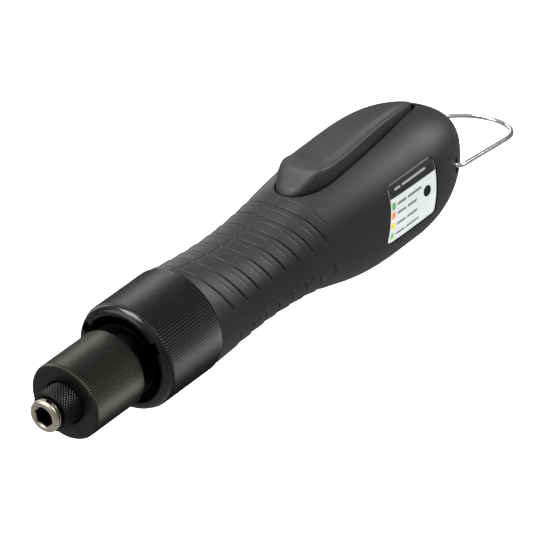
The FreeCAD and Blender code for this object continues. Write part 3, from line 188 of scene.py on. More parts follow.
def rounded(profile, radius, steps=5):
    """A closed profile with each corner given as (x, r, radius) rounded; radius is the default."""
    profile = [p if len(p) == 3 else (*p, radius) for p in profile]
    out = []
    for i, (x, y, r) in enumerate(profile):
        here = np.array([x, y])
        before = np.array(profile[i - 1][:2]) - here
        after = np.array(profile[(i + 1) % len(profile)][:2]) - here
        room = min(np.linalg.norm(before), np.linalg.norm(after)) * 0.45
        if r <= 0 or room <= 0:
            out.append(here)
            continue
        before /= np.linalg.norm(before)
        after /= np.linalg.norm(after)
        cut = min(r, room)
        for t in np.linspace(0, 1, steps):
            out.append(here + before * cut * (1 - t) ** 2 + after * cut * t**2)
    return out


def tube_faces(count):
    """The two ends and the sides of a bar whose ends have the same number of points."""
    faces = [tuple(range(count)), tuple(range(2 * count - 1, count - 1, -1))]
    return faces + [(i, (i + 1) % count, count + (i + 1) % count, count + i) for i in range(count)]


def prism_between(name, outline, low, high, axis=1):
    """A closed prism: an outline of two coordinates carried along one axis."""
    points = []
    for level in (low, high):
        for a, b in outline:
            point = [a, b]
            point.insert(axis, level)
            points.append(point)
    return mesh_object(name, points, tube_faces(len(outline)), smooth=False)


# %% Cutting, baking and shading

def carve(target, cutters, operation="DIFFERENCE"):
    """Apply a boolean with each cutter and throw the cutters away."""
    for cutter in cutters:
        step = target.modifiers.new("carve", "BOOLEAN")
        step.operation = operation
        step.solver = "EXACT"
        step.object = cutter
    bake(target)
    for cutter in cutters:
        bpy.data.objects.remove(cutter)
    return target


def bake(target):
    """Turn an object's modifiers into its mesh."""
    graph = bpy.context.evaluated_depsgraph_get()
    mesh = bpy.data.meshes.new_from_object(target.evaluated_get(graph))
    target.modifiers.clear()
    target.data = mesh
    return target


def sharpen(target, degrees=35):
    """Smooth shading that keeps edges sharper than an angle."""
    mesh = target.data
    for face in mesh.polygons:
        face.use_smooth = True
    work = bmesh.new()
    work.from_mesh(mesh)
    for edge in work.edges:
        if len(edge.link_faces) == 2:
            edge.smooth = edge.calc_face_angle(0) < math.radians(degrees)
    work.to_mesh(mesh)
    work.free()
    return target


# %% [markdown]
# ## Shader maths
# A finish is never one flat colour: grain, wear and print change it from place to place. Such patterns
# are sums on the place on the object. Drawn as nodes by hand they are hard to read, so a small class
# wraps a socket and lets the sums be written as plain Python, and one method adds any other node.

# %% A socket that calculates

class Sock:
    """A socket that can be added and multiplied like a number."""

    def __init__(self, tree, socket):
        self.tree = tree
        self.socket = socket

    def math(self, operation, other=0.0, swap=False, clamp=False):
        node = self.tree.nodes.new("ShaderNodeMath")
        node.operation = operation
        node.use_clamp = clamp
        values = [other, self] if swap else [self, other]
        for index, value in enumerate(values):
            if isinstance(value, Sock):
                self.tree.links.new(value.socket, node.inputs[index])
            else:
                node.inputs[index].default_value = value
        return Sock(self.tree, node.outputs[0])

    def __add__(self, other):
        return self.math("ADD", other)

    def __sub__(self, other):
        return self.math("SUBTRACT", other)

    def __rsub__(self, other):
        return self.math("SUBTRACT", other, swap=True)

    def __mul__(self, other):
        return self.math("MULTIPLY", other)

    def __truediv__(self, other):
        return self.math("DIVIDE", other)

    def abs(self):
        return self.math("ABSOLUTE")

    def max(self, other):
        return self.math("MAXIMUM", other)

    def rise(self, low, high):
        """0 below low, 1 above high, and smooth between."""
        node = self.tree.nodes.new("ShaderNodeMapRange")
        node.interpolation_type = "SMOOTHSTEP"
        self.tree.links.new(self.socket, node.inputs["Value"])
        node.inputs["From Min"].default_value = low
        node.inputs["From Max"].default_value = high
        return Sock(self.tree, node.outputs["Result"])


# %% A material being made

class Look:
    """A material being made: its tree, its main shader, and places on the object."""

    def __init__(self, name, **fixed):
        self.material = bpy.data.materials.new(name)
        self.material.use_nodes = True
        self.tree = self.material.node_tree
        self.shader = self.tree.nodes["Principled BSDF"]
        for key, value in fixed.items():
            self.shader.inputs[key.replace("_", " ")].default_value = value
        self.places = self.add("ShaderNodeTexCoord").outputs["Object"]
        parts = self.add("ShaderNodeSeparateXYZ", Vector=self.places)
        self.x, self.y, self.z = [Sock(self.tree, out) for out in parts.outputs]

    def add(self, kind, attributes=(), **inputs):
        """Any node, with its inputs linked or set by name."""
        node = self.tree.nodes.new(kind)
        for key, value in dict(attributes).items():
            setattr(node, key, value)
        for key, value in inputs.items():
            socket = node.inputs[key.replace("_", " ")]
            if isinstance(value, Sock):
                self.tree.links.new(value.socket, socket)
            elif isinstance(value, bpy.types.NodeSocket):
                self.tree.links.new(value, socket)
            else:
                socket.default_value = value
        return node

    def noise(self, scale, detail=4.0, roughness=0.55, vector=None):
        node = self.add("ShaderNodeTexNoise", Vector=vector or self.places, Scale=scale, Detail=detail,
                        Roughness=roughness)
        return Sock(self.tree, node.outputs["Fac"])

    def feed(self, name, value):
        socket = self.shader.inputs[name]
        self.tree.links.new(value.socket if isinstance(value, Sock) else value, socket)
        return self

    def mix(self, factor, low, high):
        """A colour between two, each a tuple or a colour socket."""
        node = self.add("ShaderNodeMix", {"data_type": "RGBA"})
        ends = [s for s in node.inputs if s.type == "RGBA"]
        share = [s for s in node.inputs if s.type == "VALUE"][0]
        self.tree.links.new(factor.socket, share)
        for socket, value in zip(ends, (low, high)):
            if isinstance(value, tuple):
                socket.default_value = (*value, 1.0)
            else:
                self.tree.links.new(value, socket)
        return [s for s in node.outputs if s.type == "RGBA"][0]

    def bump(self, height, distance, strength=1.0):
        node = self.add("ShaderNodeBump", Height=height, Distance=distance, Strength=strength)
        return self.feed("Normal", node.outputs["Normal"])


# %% Two families of finish

def plastic(name, low, high, roughness, grain=1400.0, depth=0.00003, spread=0.06, **fixed):
    """Moulded plastic: fine spark-eroded grain, faint handling marks, two close shades."""
    look = Look(name, **fixed)
    grains = look.noise(grain, 3.0)
    clouds = look.noise(22.0, 5.0)
    shade = clouds.rise(0.35, 0.68) * 0.5 + grains.rise(0.35, 0.65) * 0.5
    look.feed("Base Color", look.mix(shade, low, high))
    look.feed("Roughness", clouds * spread + grains * 0.12 + (roughness - spread / 2 - 0.06))
    look.bump(grains, depth)
    return look


def metal(name, low, high, roughness, brushed=(1.0, 1.0, 1.0), scale=900.0, depth=0.000006, **fixed):
    """Metal with fine marks that can be drawn out along one way."""
    look = Look(name, Metallic=1.0, **fixed)
    drawn = look.add("ShaderNodeMapping", Vector=look.places, Scale=brushed).outputs["Vector"]
    marks = look.noise(scale, 4.0, vector=drawn)
    clouds = look.noise(40.0, 3.0)
    look.feed("Base Color", look.mix(clouds.rise(0.3, 0.7), low, high))
    look.feed("Roughness", marks * 0.12 + (roughness - 0.06))
    look.bump(marks, depth)
    return look


def dress(target, look):
    """Give a piece its finish, and print how many faces it has."""
    target.data.materials.clear()
    target.data.materials.append(look.material)
    print(target.name, len(target.data.polygons), "faces")


# %% [markdown]
# ## Moulded halves
# The body is two shells of black plastic that meet in the middle plane. On the grip, ribs lie like
# shingles: at each line the surface drops, then rises slowly to the next line, and a thin groove runs along
# the step. Near the middle of each side the grooves end in short hooks. Bump alone would leave the
# outline smooth, so the relief is a formula of the place that moves the mesh's own points.

# %% Grip relief
GROOVE_FIRST, GROOVE_PITCH, GROOVE_COUNT = 75.5, 7.0, 8
UPPER_END, LOWER_END, LOWER_SHIFT, HOOK = 4.4, 4.2, 1.7, 3.6
SLANT = math.tan(math.radians(21))
NOTCH_DEPTH, NOTCH_WIDTH, SHINGLE_DEPTH, FAINT_DEPTH = 0.56, 0.29, 0.4, 0.12


def smooth(low, high, value):
    t = np.clip((value - low) / (high - low), 0, 1)
    return t * t * (3 - 2 * t)


def grip_relief(x, z):
    """How far the grip's surface is drawn in at a place, in millimetres."""
    depth = np.zeros_like(x)
    upper = GROOVE_FIRST - SLANT * (z - UPPER_END)
    lower = GROOVE_FIRST + LOWER_SHIFT - SLANT * (z + LOWER_END)
    for line, end, sign in ((upper, UPPER_END, 1), (lower, -LOWER_END, -1)):
        phase = (x - line) / GROOVE_PITCH
        inside = smooth(-0.45, 0.0, phase) * smooth(GROOVE_COUNT, GROOVE_COUNT - 0.6, phase)
        number = np.round(phase)
        off = (phase - number) * GROOVE_PITCH
        valid = (number >= 0) & (number < GROOVE_COUNT)
        height = (z - end) * sign
        notch = np.exp(-((off - 0.1) / NOTCH_WIDTH) ** 2) * smooth(-0.1, 0.35, height) * valid
        fade = smooth(0.3, 7.5, height)
        step = 1 - np.mod(phase, 1.0)
        shingle = SHINGLE_DEPTH * step**1.4 * fade * inside
        second = np.mod(phase - 0.62, 1.0)
        second = np.minimum(second, 1 - second) * GROOVE_PITCH
        faint = FAINT_DEPTH * np.exp(-(second / 0.25) ** 2) * smooth(2.0, 6.0, height) * inside
        depth += np.where(height > -0.3, NOTCH_DEPTH * notch + shingle + faint, 0)
    for index in range(GROOVE_COUNT - 1):
        start = GROOVE_FIRST + LOWER_SHIFT + index * GROOVE_PITCH
        along = smooth(start - 0.1, start + 0.15, x) * smooth(start + HOOK + 0.15, start + HOOK - 0.1, x)
        depth = np.maximum(depth, NOTCH_DEPTH * along * np.exp(-((z + LOWER_END + 0.22) / 0.26) ** 2))
    return depth


print("deepest groove", float(grip_relief(np.linspace(75, 120, 500), np.full(500, 9.0)).max()), "mm")

# %% Places of the rings
WALL, LEAST_REACH, SEAM_RELIEF, GRIP_END = 2.2, 6.15, 0.16, 128.5


def along_housing():
    """Places of the rings: close together on the grip and at the tail's end."""
    grip = np.arange(68.0, 127.0, 0.2)
    rest = np.arange(127.0, 176.0, 0.8)
    tail = TAIL_START + TAIL_LENGTH * np.sin(np.radians(np.arange(0, 72.0, 1.6)))
    return np.concatenate([[67.1, 67.3, 67.6], grip, rest, tail, [TAIL_END]])


def round_half():
    """Places round one half from bottom to top, closer together where the hooks lie."""
    share = np.concatenate([np.linspace(-90, -24, 50)[:-1], np.linspace(-24, -8, 34)[:-1],
                            np.linspace(-8, 90, 66)])
    return np.radians(share)


print("rings", len(along_housing()), "with", len(round_half()), "points")

# %% One half as a closed shell

def ring_points(x, turn, inset, side, relief):
    half, top, bottom, square = [v[:, None] for v in section(x)]
    t = turn[None, :]
    up = np.sign(np.sin(t)) * np.abs(np.sin(t)) ** (2 / square)
    across = np.abs(np.cos(t)) ** (2 / square)
    height = np.where(up > 0, top, bottom)
    y = across * np.maximum(half - inset, LEAST_REACH)
    z = up * np.maximum(height - inset, LEAST_REACH)
    place = np.repeat(x[:, None], len(turn), 1)
    if relief:
        drawn = np.where(place < GRIP_END, grip_relief(place, z), 0)
        size = np.hypot(across, up)
        y = y - drawn * across / size
        z = z - drawn * up / size
    y = np.maximum(y, 0.03)
    return np.stack([place, side * y, z], axis=-1)


def make_half(name, side):
    """One half of the housing as a closed shell."""
    x = along_housing()
    outer = ring_points(x, round_half(), 0.0, side, True)
    for edge, way in ((0, 1), (-1, -1)):
        outer[:, edge, 2] += way * SEAM_RELIEF
    inner = ring_points(np.clip(x, 0, TAIL_END), np.radians(np.linspace(90, -90, 19)), WALL, side, False)
    rings = np.concatenate([outer, inner], axis=1)
    rows, columns = rings.shape[:2]
    faces = grid_faces(rows, columns, closed_columns=True)
    outside = outer.shape[1]
    for row in (0, rows - 1):
        base = row * columns
        strip = list(range(outside))
        back = list(range(columns - 1, outside - 1, -1))
        faces += bridge([base + i for i in strip], [base + i for i in back])
    return mesh_object(name, rings.reshape(-1, 3), faces)


def bridge(first, second):
    """Faces between two strips of points of different lengths that run the same way."""
    faces = []
    j = 0
    for i in range(len(first) - 1):
        target = round((i + 1) / (len(first) - 1) * (len(second) - 1))
        if target == j:
            faces.append((first[i], first[i + 1], second[j]))
        else:
            faces.append((first[i], first[i + 1], second[target], second[j]))
            j = target
    return faces


print("wall", WALL, "mm")

# %% [markdown]
# ## Openings of the halves
# The real halves are cut by the lever's opening, the label's recess, slots for the loop and the reversing
# knob, and screw holes. They could be left out of the rings, but then the rings would have to follow each
# edge. A boolean with a simple cutter for each is easier to read, and gives the same closed mesh.

# %% Label outline and curved slab
LABEL_CORNERS = ((155.7, 10.2), (181.2, 10.2), (178.9, -10.9), (152.3, -10.9))
LABEL_ROUND, LABEL_GAP = 3.0, 0.25
LABEL_X, LABEL_Z, LABEL_OUT, LABEL_IN = (150, 186), (-15.5, 12.5), -26, -12
LENS_X, LENS_HOLE = 174.4, 2.0


def round_corner(here, before, after, radius, steps):
    """Points of the arc that rounds the corner between two directions."""
    half = math.acos(float(before @ after)) / 2
    inward = (before + after) / np.linalg.norm(before + after)
    centre = here + inward * radius / math.sin(half)
    first = here + before * radius / math.tan(half) - centre
    last = here + after * radius / math.tan(half) - centre
    arms = [first * (1 - t) + last * t for t in np.linspace(0, 1, steps)]
    return [centre + arm / np.linalg.norm(arm) * radius for arm in arms]


def grown(corners, gap, radius, steps=10):
    """The label's outline grown by a gap, with round corners."""
    middle = np.mean(corners, axis=0)
    sharp = [np.array([x + math.copysign(gap, x - middle[0]), z + math.copysign(gap, z - middle[1])])
             for x, z in corners]
    out = []
    for i, here in enumerate(sharp):
        before, after = sharp[i - 1] - here, sharp[(i + 1) % len(sharp)] - here
        before, after = before / np.linalg.norm(before), after / np.linalg.norm(after)
        out += round_corner(here, before, after, radius, steps)
    return out


def side_slab(name, inner, outer, side, x_span, z_span, columns=70, rows=60):
    """A curved slab that follows the housing's side between two depths."""
    xs = np.linspace(*x_span, columns)
    zs = np.linspace(*z_span, rows)
    grid_x, grid_z = np.meshgrid(xs, zs, indexing="ij")
    layers = []
    for depth in (inner, outer):
        y = side_reach(grid_x.ravel(), grid_z.ravel(), depth).reshape(grid_x.shape)
        layers.append(np.stack([grid_x, side * y, grid_z], axis=-1).reshape(-1, 3))
    count = columns * rows
    faces = grid_faces(columns, rows)
    faces += [tuple(i + count for i in face) for face in grid_faces(columns, rows)]
    rim = [r for r in range(rows)] + [c * rows + rows - 1 for c in range(1, columns)]
    rim += [(columns - 1) * rows + r for r in range(rows - 2, -1, -1)]
    rim += [c * rows for c in range(columns - 2, 0, -1)]
    faces += [(rim[i], rim[(i + 1) % len(rim)], count + rim[(i + 1) % len(rim)], count + rim[i])
              for i in range(len(rim))]
    return mesh_object(name, np.concatenate(layers), faces)


def tube_bar(name, radius, start, end, steps=48):
    """A round bar between two places in millimetres."""
    start, end = np.array(start, float), np.array(end, float)
    way = (end - start) / np.linalg.norm(end - start)
    side = np.cross(way, [0, 0, 1] if abs(way[2]) < 0.9 else [1, 0, 0])
    side /= np.linalg.norm(side)
    other = np.cross(way, side)
    angle = np.linspace(0, 2 * math.pi, steps, endpoint=False)
    ring = radius * (np.cos(angle)[:, None] * side + np.sin(angle)[:, None] * other)
    points = np.concatenate([start + ring, end + ring])
    return mesh_object(name, points, tube_faces(steps), smooth=False)


print("label field", len(grown(LABEL_CORNERS, 0.0, LABEL_ROUND)), "points round")

# %% Plan of the start lever
LEVER_NOSE, LEVER_SHOULDER, LEVER_TAIL, LEVER_HALF = 125.6, 143.0, 195.0, 8.7
NOSE_GAP, TAIL_GAP, SIDE_GAP, LOW_SQUARE = 0.5, 2.4, 0.9, 2.2


def lever_front(shift, half, square, steps=81):
    """The blunt front of a contour, from the far side round the nose to the near side."""
    turn = np.linspace(-math.pi / 2, math.pi / 2, steps)
    reach = LEVER_SHOULDER - LEVER_NOSE - shift
    size = ((np.cos(turn) / reach) ** square + (np.abs(np.sin(turn)) / half) ** square) ** (-1 / square)
    return np.stack([LEVER_SHOULDER - size * np.cos(turn), size * np.sin(turn)], 1)


def lever_back(shift, half, steps=80):
    """The slimmer rear of a contour, from the shoulder to the round tail."""
    share = 1 - (1 - np.linspace(0, 1, steps)) ** 1.8
    return np.stack([LEVER_SHOULDER + (LEVER_TAIL - shift - LEVER_SHOULDER) * share,
                     half * (1 - share**2) ** 0.57], 1)


def lever_contour(nose_shift, tail_shift, half, square):
    """One closed contour of the lever in plan, in millimetres."""
    front, back = lever_front(nose_shift, half, square), lever_back(tail_shift, half)
    return np.concatenate([front, back[1:], back[1:-1][::-1] * [1, -1]])


print("lever", LEVER_TAIL - LEVER_NOSE, "mm long,", 2 * LEVER_HALF, "mm wide")

# %% Cutters
BAIL_HALF = 19.4
SCREW_PLACES, SCREW_HOLE = ((128.5, -12.6), (184.6, -15.2), (201.0, 9.2)), 2.6


def box_mesh(name, low, high):
    outline = [(low[0], low[2]), (high[0], low[2]), (high[0], high[2]), (low[0], high[2])]
    return prism_between(name, outline, low[1], high[1])


def half_cutters(side):
    opening = lever_contour(-NOSE_GAP, -TAIL_GAP, LEVER_HALF + SIDE_GAP, LOW_SQUARE)
    cutters = [prism_between("lever_opening", opening, 10.4, 40.0, axis=2),
               box_mesh("bail_slot", (194.0, side * (BAIL_HALF - 3.0), -4.2), (196.0, side * 30, 1.2))]
    if side < 0:
        label = prism_between("label_opening", grown(LABEL_CORNERS, LABEL_GAP, LABEL_ROUND + LABEL_GAP),
                              LABEL_OUT, LABEL_IN)
        body = side_slab("label_body", 0.9, -4.0, -1, LABEL_X, LABEL_Z)
        cutters.append(carve(label, [body], "INTERSECT"))
        cutters.append(tube_bar("lens_hole", LENS_HOLE, (LENS_X, -30, 0), (LENS_X, -10, 0)))
    else:
        cutters.append(box_mesh("direction_slot", (155.5, 16, -6.8), (164.5, 30, -3.2)))
        cutters += [tube_bar("screw_head_hole", SCREW_HOLE, (x, 8, z), (x, 30, z)) for x, z in SCREW_PLACES]
    return cutters


# %% Finished halves
housing_look = plastic("housing_plastic", (0.0066, 0.0069, 0.0065), (0.0150, 0.0154, 0.0146), 0.46,
                       grain=2300.0, depth=0.00005, Specular_IOR_Level=0.34)
for name, side in (("left", -1), ("right", 1)):
    half = make_half(f"housing_{name}_shell", side)
    carve(half, half_cutters(side))
    sharpen(half, 38)
    dress(half, housing_look)
    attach(half, "housing")
    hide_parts(f"housing_{name}")

# %% [markdown]
# ## Start lever
# One long lever with a dished back covers the top of the tool. It starts the motor when it is pressed.
# A subdivided box would round its blunt nose away, so contours in plan climb from the body to the rim.
# Low down they are half an ellipse at the nose. Higher up they are squarer and lie further back, which
# gives the leaning nose. Inside the rim they shrink and sink into the shallow dish.

# %% Heights of the lever
RIDGE = np.array([(125.6, 22.4), (140.0, 22.4), (143.0, 22.4), (147.0, 22.5), (150.0, 22.6), (156.0, 23.0),
                  (162.0, 23.3), (168.0, 23.35), (173.0, 23.15), (178.0, 22.6), (184.0, 21.5), (190.0, 19.9),
                  (194.0, 18.6), (197.0, 17.5)])
LEVER_BASE = np.array([(125.6, 16.4), (146.0, 17.6), (157.0, 18.4), (170.0, 18.9), (178.0, 18.8),
                       (185.0, 18.2), (191.0, 16.9), (197.0, 15.4)])
# Each level: shift of the nose, height of the nose, squareness, share of the side's height, draw-in.
LEVELS = ((0.0, 16.0, 2.2, 0.0, 0.0), (0.05, 16.9, 2.25, 0.2, 0.02), (0.5, 17.6, 2.4, 0.35, 0.04),
          (1.6, 18.3, 2.7, 0.5, 0.06), (2.8, 19.1, 3.1, 0.62, 0.08), (4.0, 20.0, 3.6, 0.72, 0.1),
          (5.2, 20.9, 4.0, 0.8, 0.12), (6.4, 21.8, 4.3, 0.87, 0.16), (7.4, 22.45, 4.5, 0.925, 0.22),
          (8.2, 22.85, 4.6, 0.965, 0.34), (9.0, 23.1, 4.6, 0.99, 0.56), (10.0, 23.2, 4.5, 1.0, 0.95))
RIM_SHIFT, RIM_HEIGHT, RIM_SQUARE, _, RIM_DRAW = LEVELS[-1]
TAIL_DRAW = 1.2
# A hidden skirt under the housing's wall keeps light out of the gap: growth at side and tail, height.
SKIRT = ((1.5, 2.8, 11.2), (1.5, 2.8, 12.1), (0.0, 0.0, 12.2))
# The top, as shares of the rim's width, and how far its last contour has moved in at nose and tail.
TOP_SHARES = (0.95, 0.9, 0.84, 0.77, 0.69, 0.6, 0.5, 0.4, 0.3, 0.2, 0.1, 0.0)
TOP_NOSE, TOP_TAIL, TOP_SQUARE, DISH_DEPTH, RIM_LIFT = 7.2, 7.0, 2.2, 1.0, 0.06
print("levels", len(LEVELS), "rings on top", len(TOP_SHARES))

# %% Rings of the lever

def curve_at(table, x, width=1.6):
    """A table of heights read with its corners rounded off."""
    shifts = np.linspace(-1, 1, 9) * width
    return np.mean([np.interp(x + shift, table[:, 0], table[:, 1]) for shift in shifts], axis=0)


def nose_share(contour):
    """1 at the nose's tip and 0 along the sides."""
    return smooth(0.15, 0.85, (LEVER_SHOULDER - contour[:, 0]) / (LEVER_SHOULDER - contour[:, 0].min()))


def flank_ring(shift, nose_height, square, share, draw):
    """One level between the body and the rim."""
    contour = lever_contour(shift, draw * TAIL_DRAW, LEVER_HALF - draw, square)
    base = curve_at(LEVER_BASE, contour[:, 0])
    side = base + share * (curve_at(RIDGE, contour[:, 0]) - base)
    return np.column_stack([contour, side + nose_share(contour) * (nose_height - side)])


def top_ring(share):
    """One contour inside the rim, from the rim at 1 to the middle line at 0."""
    inward = 1 - share
    contour = lever_contour(RIM_SHIFT + inward * TOP_NOSE, RIM_DRAW * TAIL_DRAW + inward * TOP_TAIL,
                            (LEVER_HALF - RIM_DRAW) * max(share, 0.02), RIM_SQUARE - TOP_SQUARE * inward)
    contour[:, 0] += inward * 2.5 * smooth(20.0, 0.0, np.abs(contour[:, 0] - LEVER_SHOULDER))
    contour[:, 1] *= share > 0
    x = contour[:, 0]
    front = smooth(145.0, 136.0, x)
    crown = curve_at(RIDGE, x) * (1 - front) + RIM_HEIGHT * front
    dish = DISH_DEPTH * smooth(0.98, 0.25, share) * smooth(135.5, 146.0, x) * smooth(194, 176, x)
    return np.column_stack([contour, crown + RIM_LIFT * smooth(1.0, 0.92, share) - dish])


print("highest", round(float(flank_ring(*LEVELS[-1])[:, 2].max()), 2), "mm above the axis")

# %% Lever
rings = []
for grow, tail_grow, height in SKIRT:
    contour = lever_contour(-0.6 * grow, -tail_grow, LEVER_HALF + grow, LOW_SQUARE)
    rings.append(np.column_stack([contour, np.full(len(contour), height)]))
rings += [flank_ring(*level) for level in LEVELS] + [top_ring(share) for share in TOP_SHARES]
points = np.concatenate(rings)
columns = len(rings[0])
faces = grid_faces(len(rings), columns, closed_columns=True)
faces.append(tuple(range(columns)))
lever = mesh_object("lever_paddle", points, faces)
sharpen(lever, 50)
lever_look = plastic("lever_plastic", (0.0140, 0.0145, 0.0135), (0.0205, 0.0210, 0.0198), 0.5,
                     grain=2300.0, depth=0.00002, Specular_IOR_Level=0.45)
dress(lever, lever_look)
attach(lever, "lever")
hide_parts("start_lever")
print("lever rings", len(rings), "points", len(points))

# %% [markdown]
# ## Knurling with Geometry Nodes
# The collar and the nut are turned with fine straight splines, and the sleeve has a diamond knurl. Each
# groove could be a boolean cut, but that takes hundreds of cutters. One node group instead pushes the
# points in by a wave round the axis. Splines use one family of grooves, and diamonds two that cross.

# %% Knurl node group
END_FADE, ROUND_FADE = 0.0003, 0.0001


def knurl_group():
    tree = bpy.data.node_groups.new("Knurl", "GeometryNodeTree")
    face = tree.interface
    face.new_socket("Geometry", in_out="INPUT", socket_type="NodeSocketGeometry")
    for name in ("Count", "Depth", "Lead", "Start", "End", "Least Radius", "Sharpness", "Crossed"):
        face.new_socket(name, in_out="INPUT", socket_type="NodeSocketFloat")
    face.new_socket("Material", in_out="INPUT", socket_type="NodeSocketMaterial")
    face.new_socket("Geometry", in_out="OUTPUT", socket_type="NodeSocketGeometry")
    start = tree.nodes.new("NodeGroupInput")
    given = {s.name: Sock(tree, s) for s in start.outputs if s.name}
    place = tree.nodes.new("GeometryNodeInputPosition")
    parts = tree.nodes.new("ShaderNodeSeparateXYZ")
    tree.links.new(place.outputs[0], parts.inputs[0])
    x, y, z = [Sock(tree, out) for out in parts.outputs]
    radius = (y * y + z * z).math("SQRT")
    turn = z.math("ARCTAN2", y) / (2 * math.pi)
    along = (x - given["Start"]) * given["Lead"]
    depths = []
    for way in (1.0, -1.0):
        phase = (turn * given["Count"] + along * way).math("FRACT")
        wave = ((phase - 0.5).abs() * 2.0).math("POWER", given["Sharpness"])
        depths.append(wave)
    crossed = depths[0].max(depths[1] * given["Crossed"])
    fade_in = ((x - given["Start"]) / END_FADE).math("ADD", 0.0, clamp=True)
    fade_out = ((given["End"] - x) / END_FADE).math("ADD", 0.0, clamp=True)
    outside = ((radius - given["Least Radius"]) / ROUND_FADE).math("ADD", 0.0, clamp=True)
    push = crossed * given["Depth"] * fade_in * fade_out * outside * -1.0
    way = tree.nodes.new("ShaderNodeCombineXYZ")
    for socket, value in ((way.inputs["Y"], y / radius.max(0.0001) * push),
                          (way.inputs["Z"], z / radius.max(0.0001) * push)):
        tree.links.new(value.socket, socket)
    move = tree.nodes.new("GeometryNodeSetPosition")
    realize = tree.nodes.new("GeometryNodeRealizeInstances")
    paint = tree.nodes.new("GeometryNodeSetMaterial")
    end = tree.nodes.new("NodeGroupOutput")
    tree.links.new(given["Geometry"].socket, move.inputs["Geometry"])
    tree.links.new(way.outputs[0], move.inputs["Offset"])
    tree.links.new(move.outputs[0], realize.inputs[0])
    tree.links.new(realize.outputs[0], paint.inputs["Geometry"])
    tree.links.new(given["Material"].socket, paint.inputs["Material"])
    tree.links.new(paint.outputs[0], end.inputs[0])
    return tree


KNURL = knurl_group()
print("knurl nodes", len(KNURL.nodes))

# %% Pressing a knurl into a piece

def knurled(target, look, **values):
    """Press the knurl into a piece and turn the result into its mesh."""
    step = target.modifiers.new("knurl", "NODES")
    step.node_group = KNURL
    names = {s.name: s.identifier for s in KNURL.interface.items_tree
             if s.item_type == "SOCKET" and s.in_out == "INPUT"}
    for key, value in values.items():
        step[names[key.replace("_", " ")]] = float(value)
    step[names["Material"]] = look.material
    dress(target, look)
    bake(target)
    return target


def with_rows(profile, radius, rows):
    """A closed profile with extra rows where it runs along its outside."""
    out = []
    for i, point in enumerate(profile):
        out.append(tuple(point))
        after = profile[(i + 1) % len(profile)]
        if abs(point[1] - radius) < 1e-6 and abs(after[1] - radius) < 1e-6:
            out += [(x, radius) for x in np.linspace(point[0], after[0], rows)[1:-1]]
    return out


# %% Collar
collar_look = metal("collar_black", (0.026, 0.027, 0.0255), (0.037, 0.0385, 0.036), 0.39,
                    brushed=(0.12, 1.0, 1.0), Coat_Weight=0.25, Coat_Roughness=0.35)
collar = lathe("collar_knurled", with_rows(rounded([
    (41.85, 16.6, 0.1), (41.85, 18.5, 0.05), (42.25, 18.9, 0.05), (66.8, 18.9, 0.1), (67.05, 18.65, 0.05),
    (67.05, 16.6, 0.1)], 0.1, 3), 18.9, 30), steps=118 * 10)
knurled(collar, collar_look, Count=118, Depth=0.00052, Lead=0, Start=0.0419, End=0.0672, Least_Radius=0.0178,
        Sharpness=0.95, Crossed=0)
sharpen(collar, 50)
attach(collar, "housing")
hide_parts("front_collar")

# %% Torque nut
nut_look = metal("nut_black", (0.045, 0.047, 0.041), (0.060, 0.062, 0.054), 0.4, brushed=(0.12, 1.0, 1.0),
                 Coat_Weight=0.1, Coat_Roughness=0.35)
nut = lathe("nut_knurled", with_rows(rounded([
    (10.2, 7.6, 0.15), (10.2, 12.7, 0.12), (10.95, 13.5, 0.08), (33.9, 13.5, 0.1), (34.5, 12.9, 0.1),
    (34.5, 9.9, 0.15), (20.0, 9.9, 0.1), (20.0, 7.6, 0.1)], 0.1, 4), 13.5, 30), steps=100 * 10)
knurled(nut, nut_look, Count=100, Depth=0.00046, Lead=0, Start=0.01045, End=0.0347, Least_Radius=0.0126,
        Sharpness=0.95, Crossed=0)
sharpen(nut, 50)
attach(nut, "nut")
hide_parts("torque_nut")

# %% Release sleeve
sleeve_look = metal("sleeve_black", (0.020, 0.020, 0.019), (0.032, 0.032, 0.030), 0.36, Coat_Weight=0.1,
                    Coat_Roughness=0.4)
sleeve = lathe("sleeve_knurled", with_rows(rounded([
    (3.3, 5.05, 0.1), (3.3, 6.3, 0.1), (3.9, 7.2, 0.1), (15.0, 7.2, 0.12), (15.3, 6.9, 0.1),
    (15.3, 6.25, 0.1), (10.9, 6.25, 0.1), (10.9, 5.05, 0.1), (8.02, 5.05, 0.1), (8.02, 5.75, 0.1),
    (5.3, 5.75, 0.1), (5.3, 5.05, 0.1)], 0.1, 4), 7.2, 110), steps=36 * 14)
knurled(sleeve, sleeve_look, Count=36, Depth=0.0004, Lead=800, Start=0.0034, End=0.0149, Least_Radius=0.00635,
        Sharpness=1.3, Crossed=1)
sharpen(sleeve, 60)
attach(sleeve, "sleeve")
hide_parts("bit_sleeve")

# %% [markdown]
# ## Bit holder and its spring ring
# The holder is a nickel-plated rod with a hexagon hole, and an open spring ring sits in a groove near its
# mouth. Cylinders would leave the edges hard, and hard edges catch no light. So the profiles have rounded
# corners and are turned, then the hexagon, the ball holes and the ring's gap are cut. Inside the bore and
# the groove the finish is darkened as painted shade.

# %% Blocks that point away from the axis

def turned_way(angle):
    return np.array([0, math.cos(math.radians(angle)), math.sin(math.radians(angle))])


def outward_block(name, angle, near, far, half, low, high):
    """A block that points out from the axis, for cutting."""
    out = turned_way(angle)
    flat = np.array([0, -out[2], out[1]])
    outline = [out * r + flat * s for r, s in ((near, -half), (far, -half), (far, half), (near, half))]
    return prism_between(name, [(p[1], p[2]) for p in outline], low, high, axis=0)


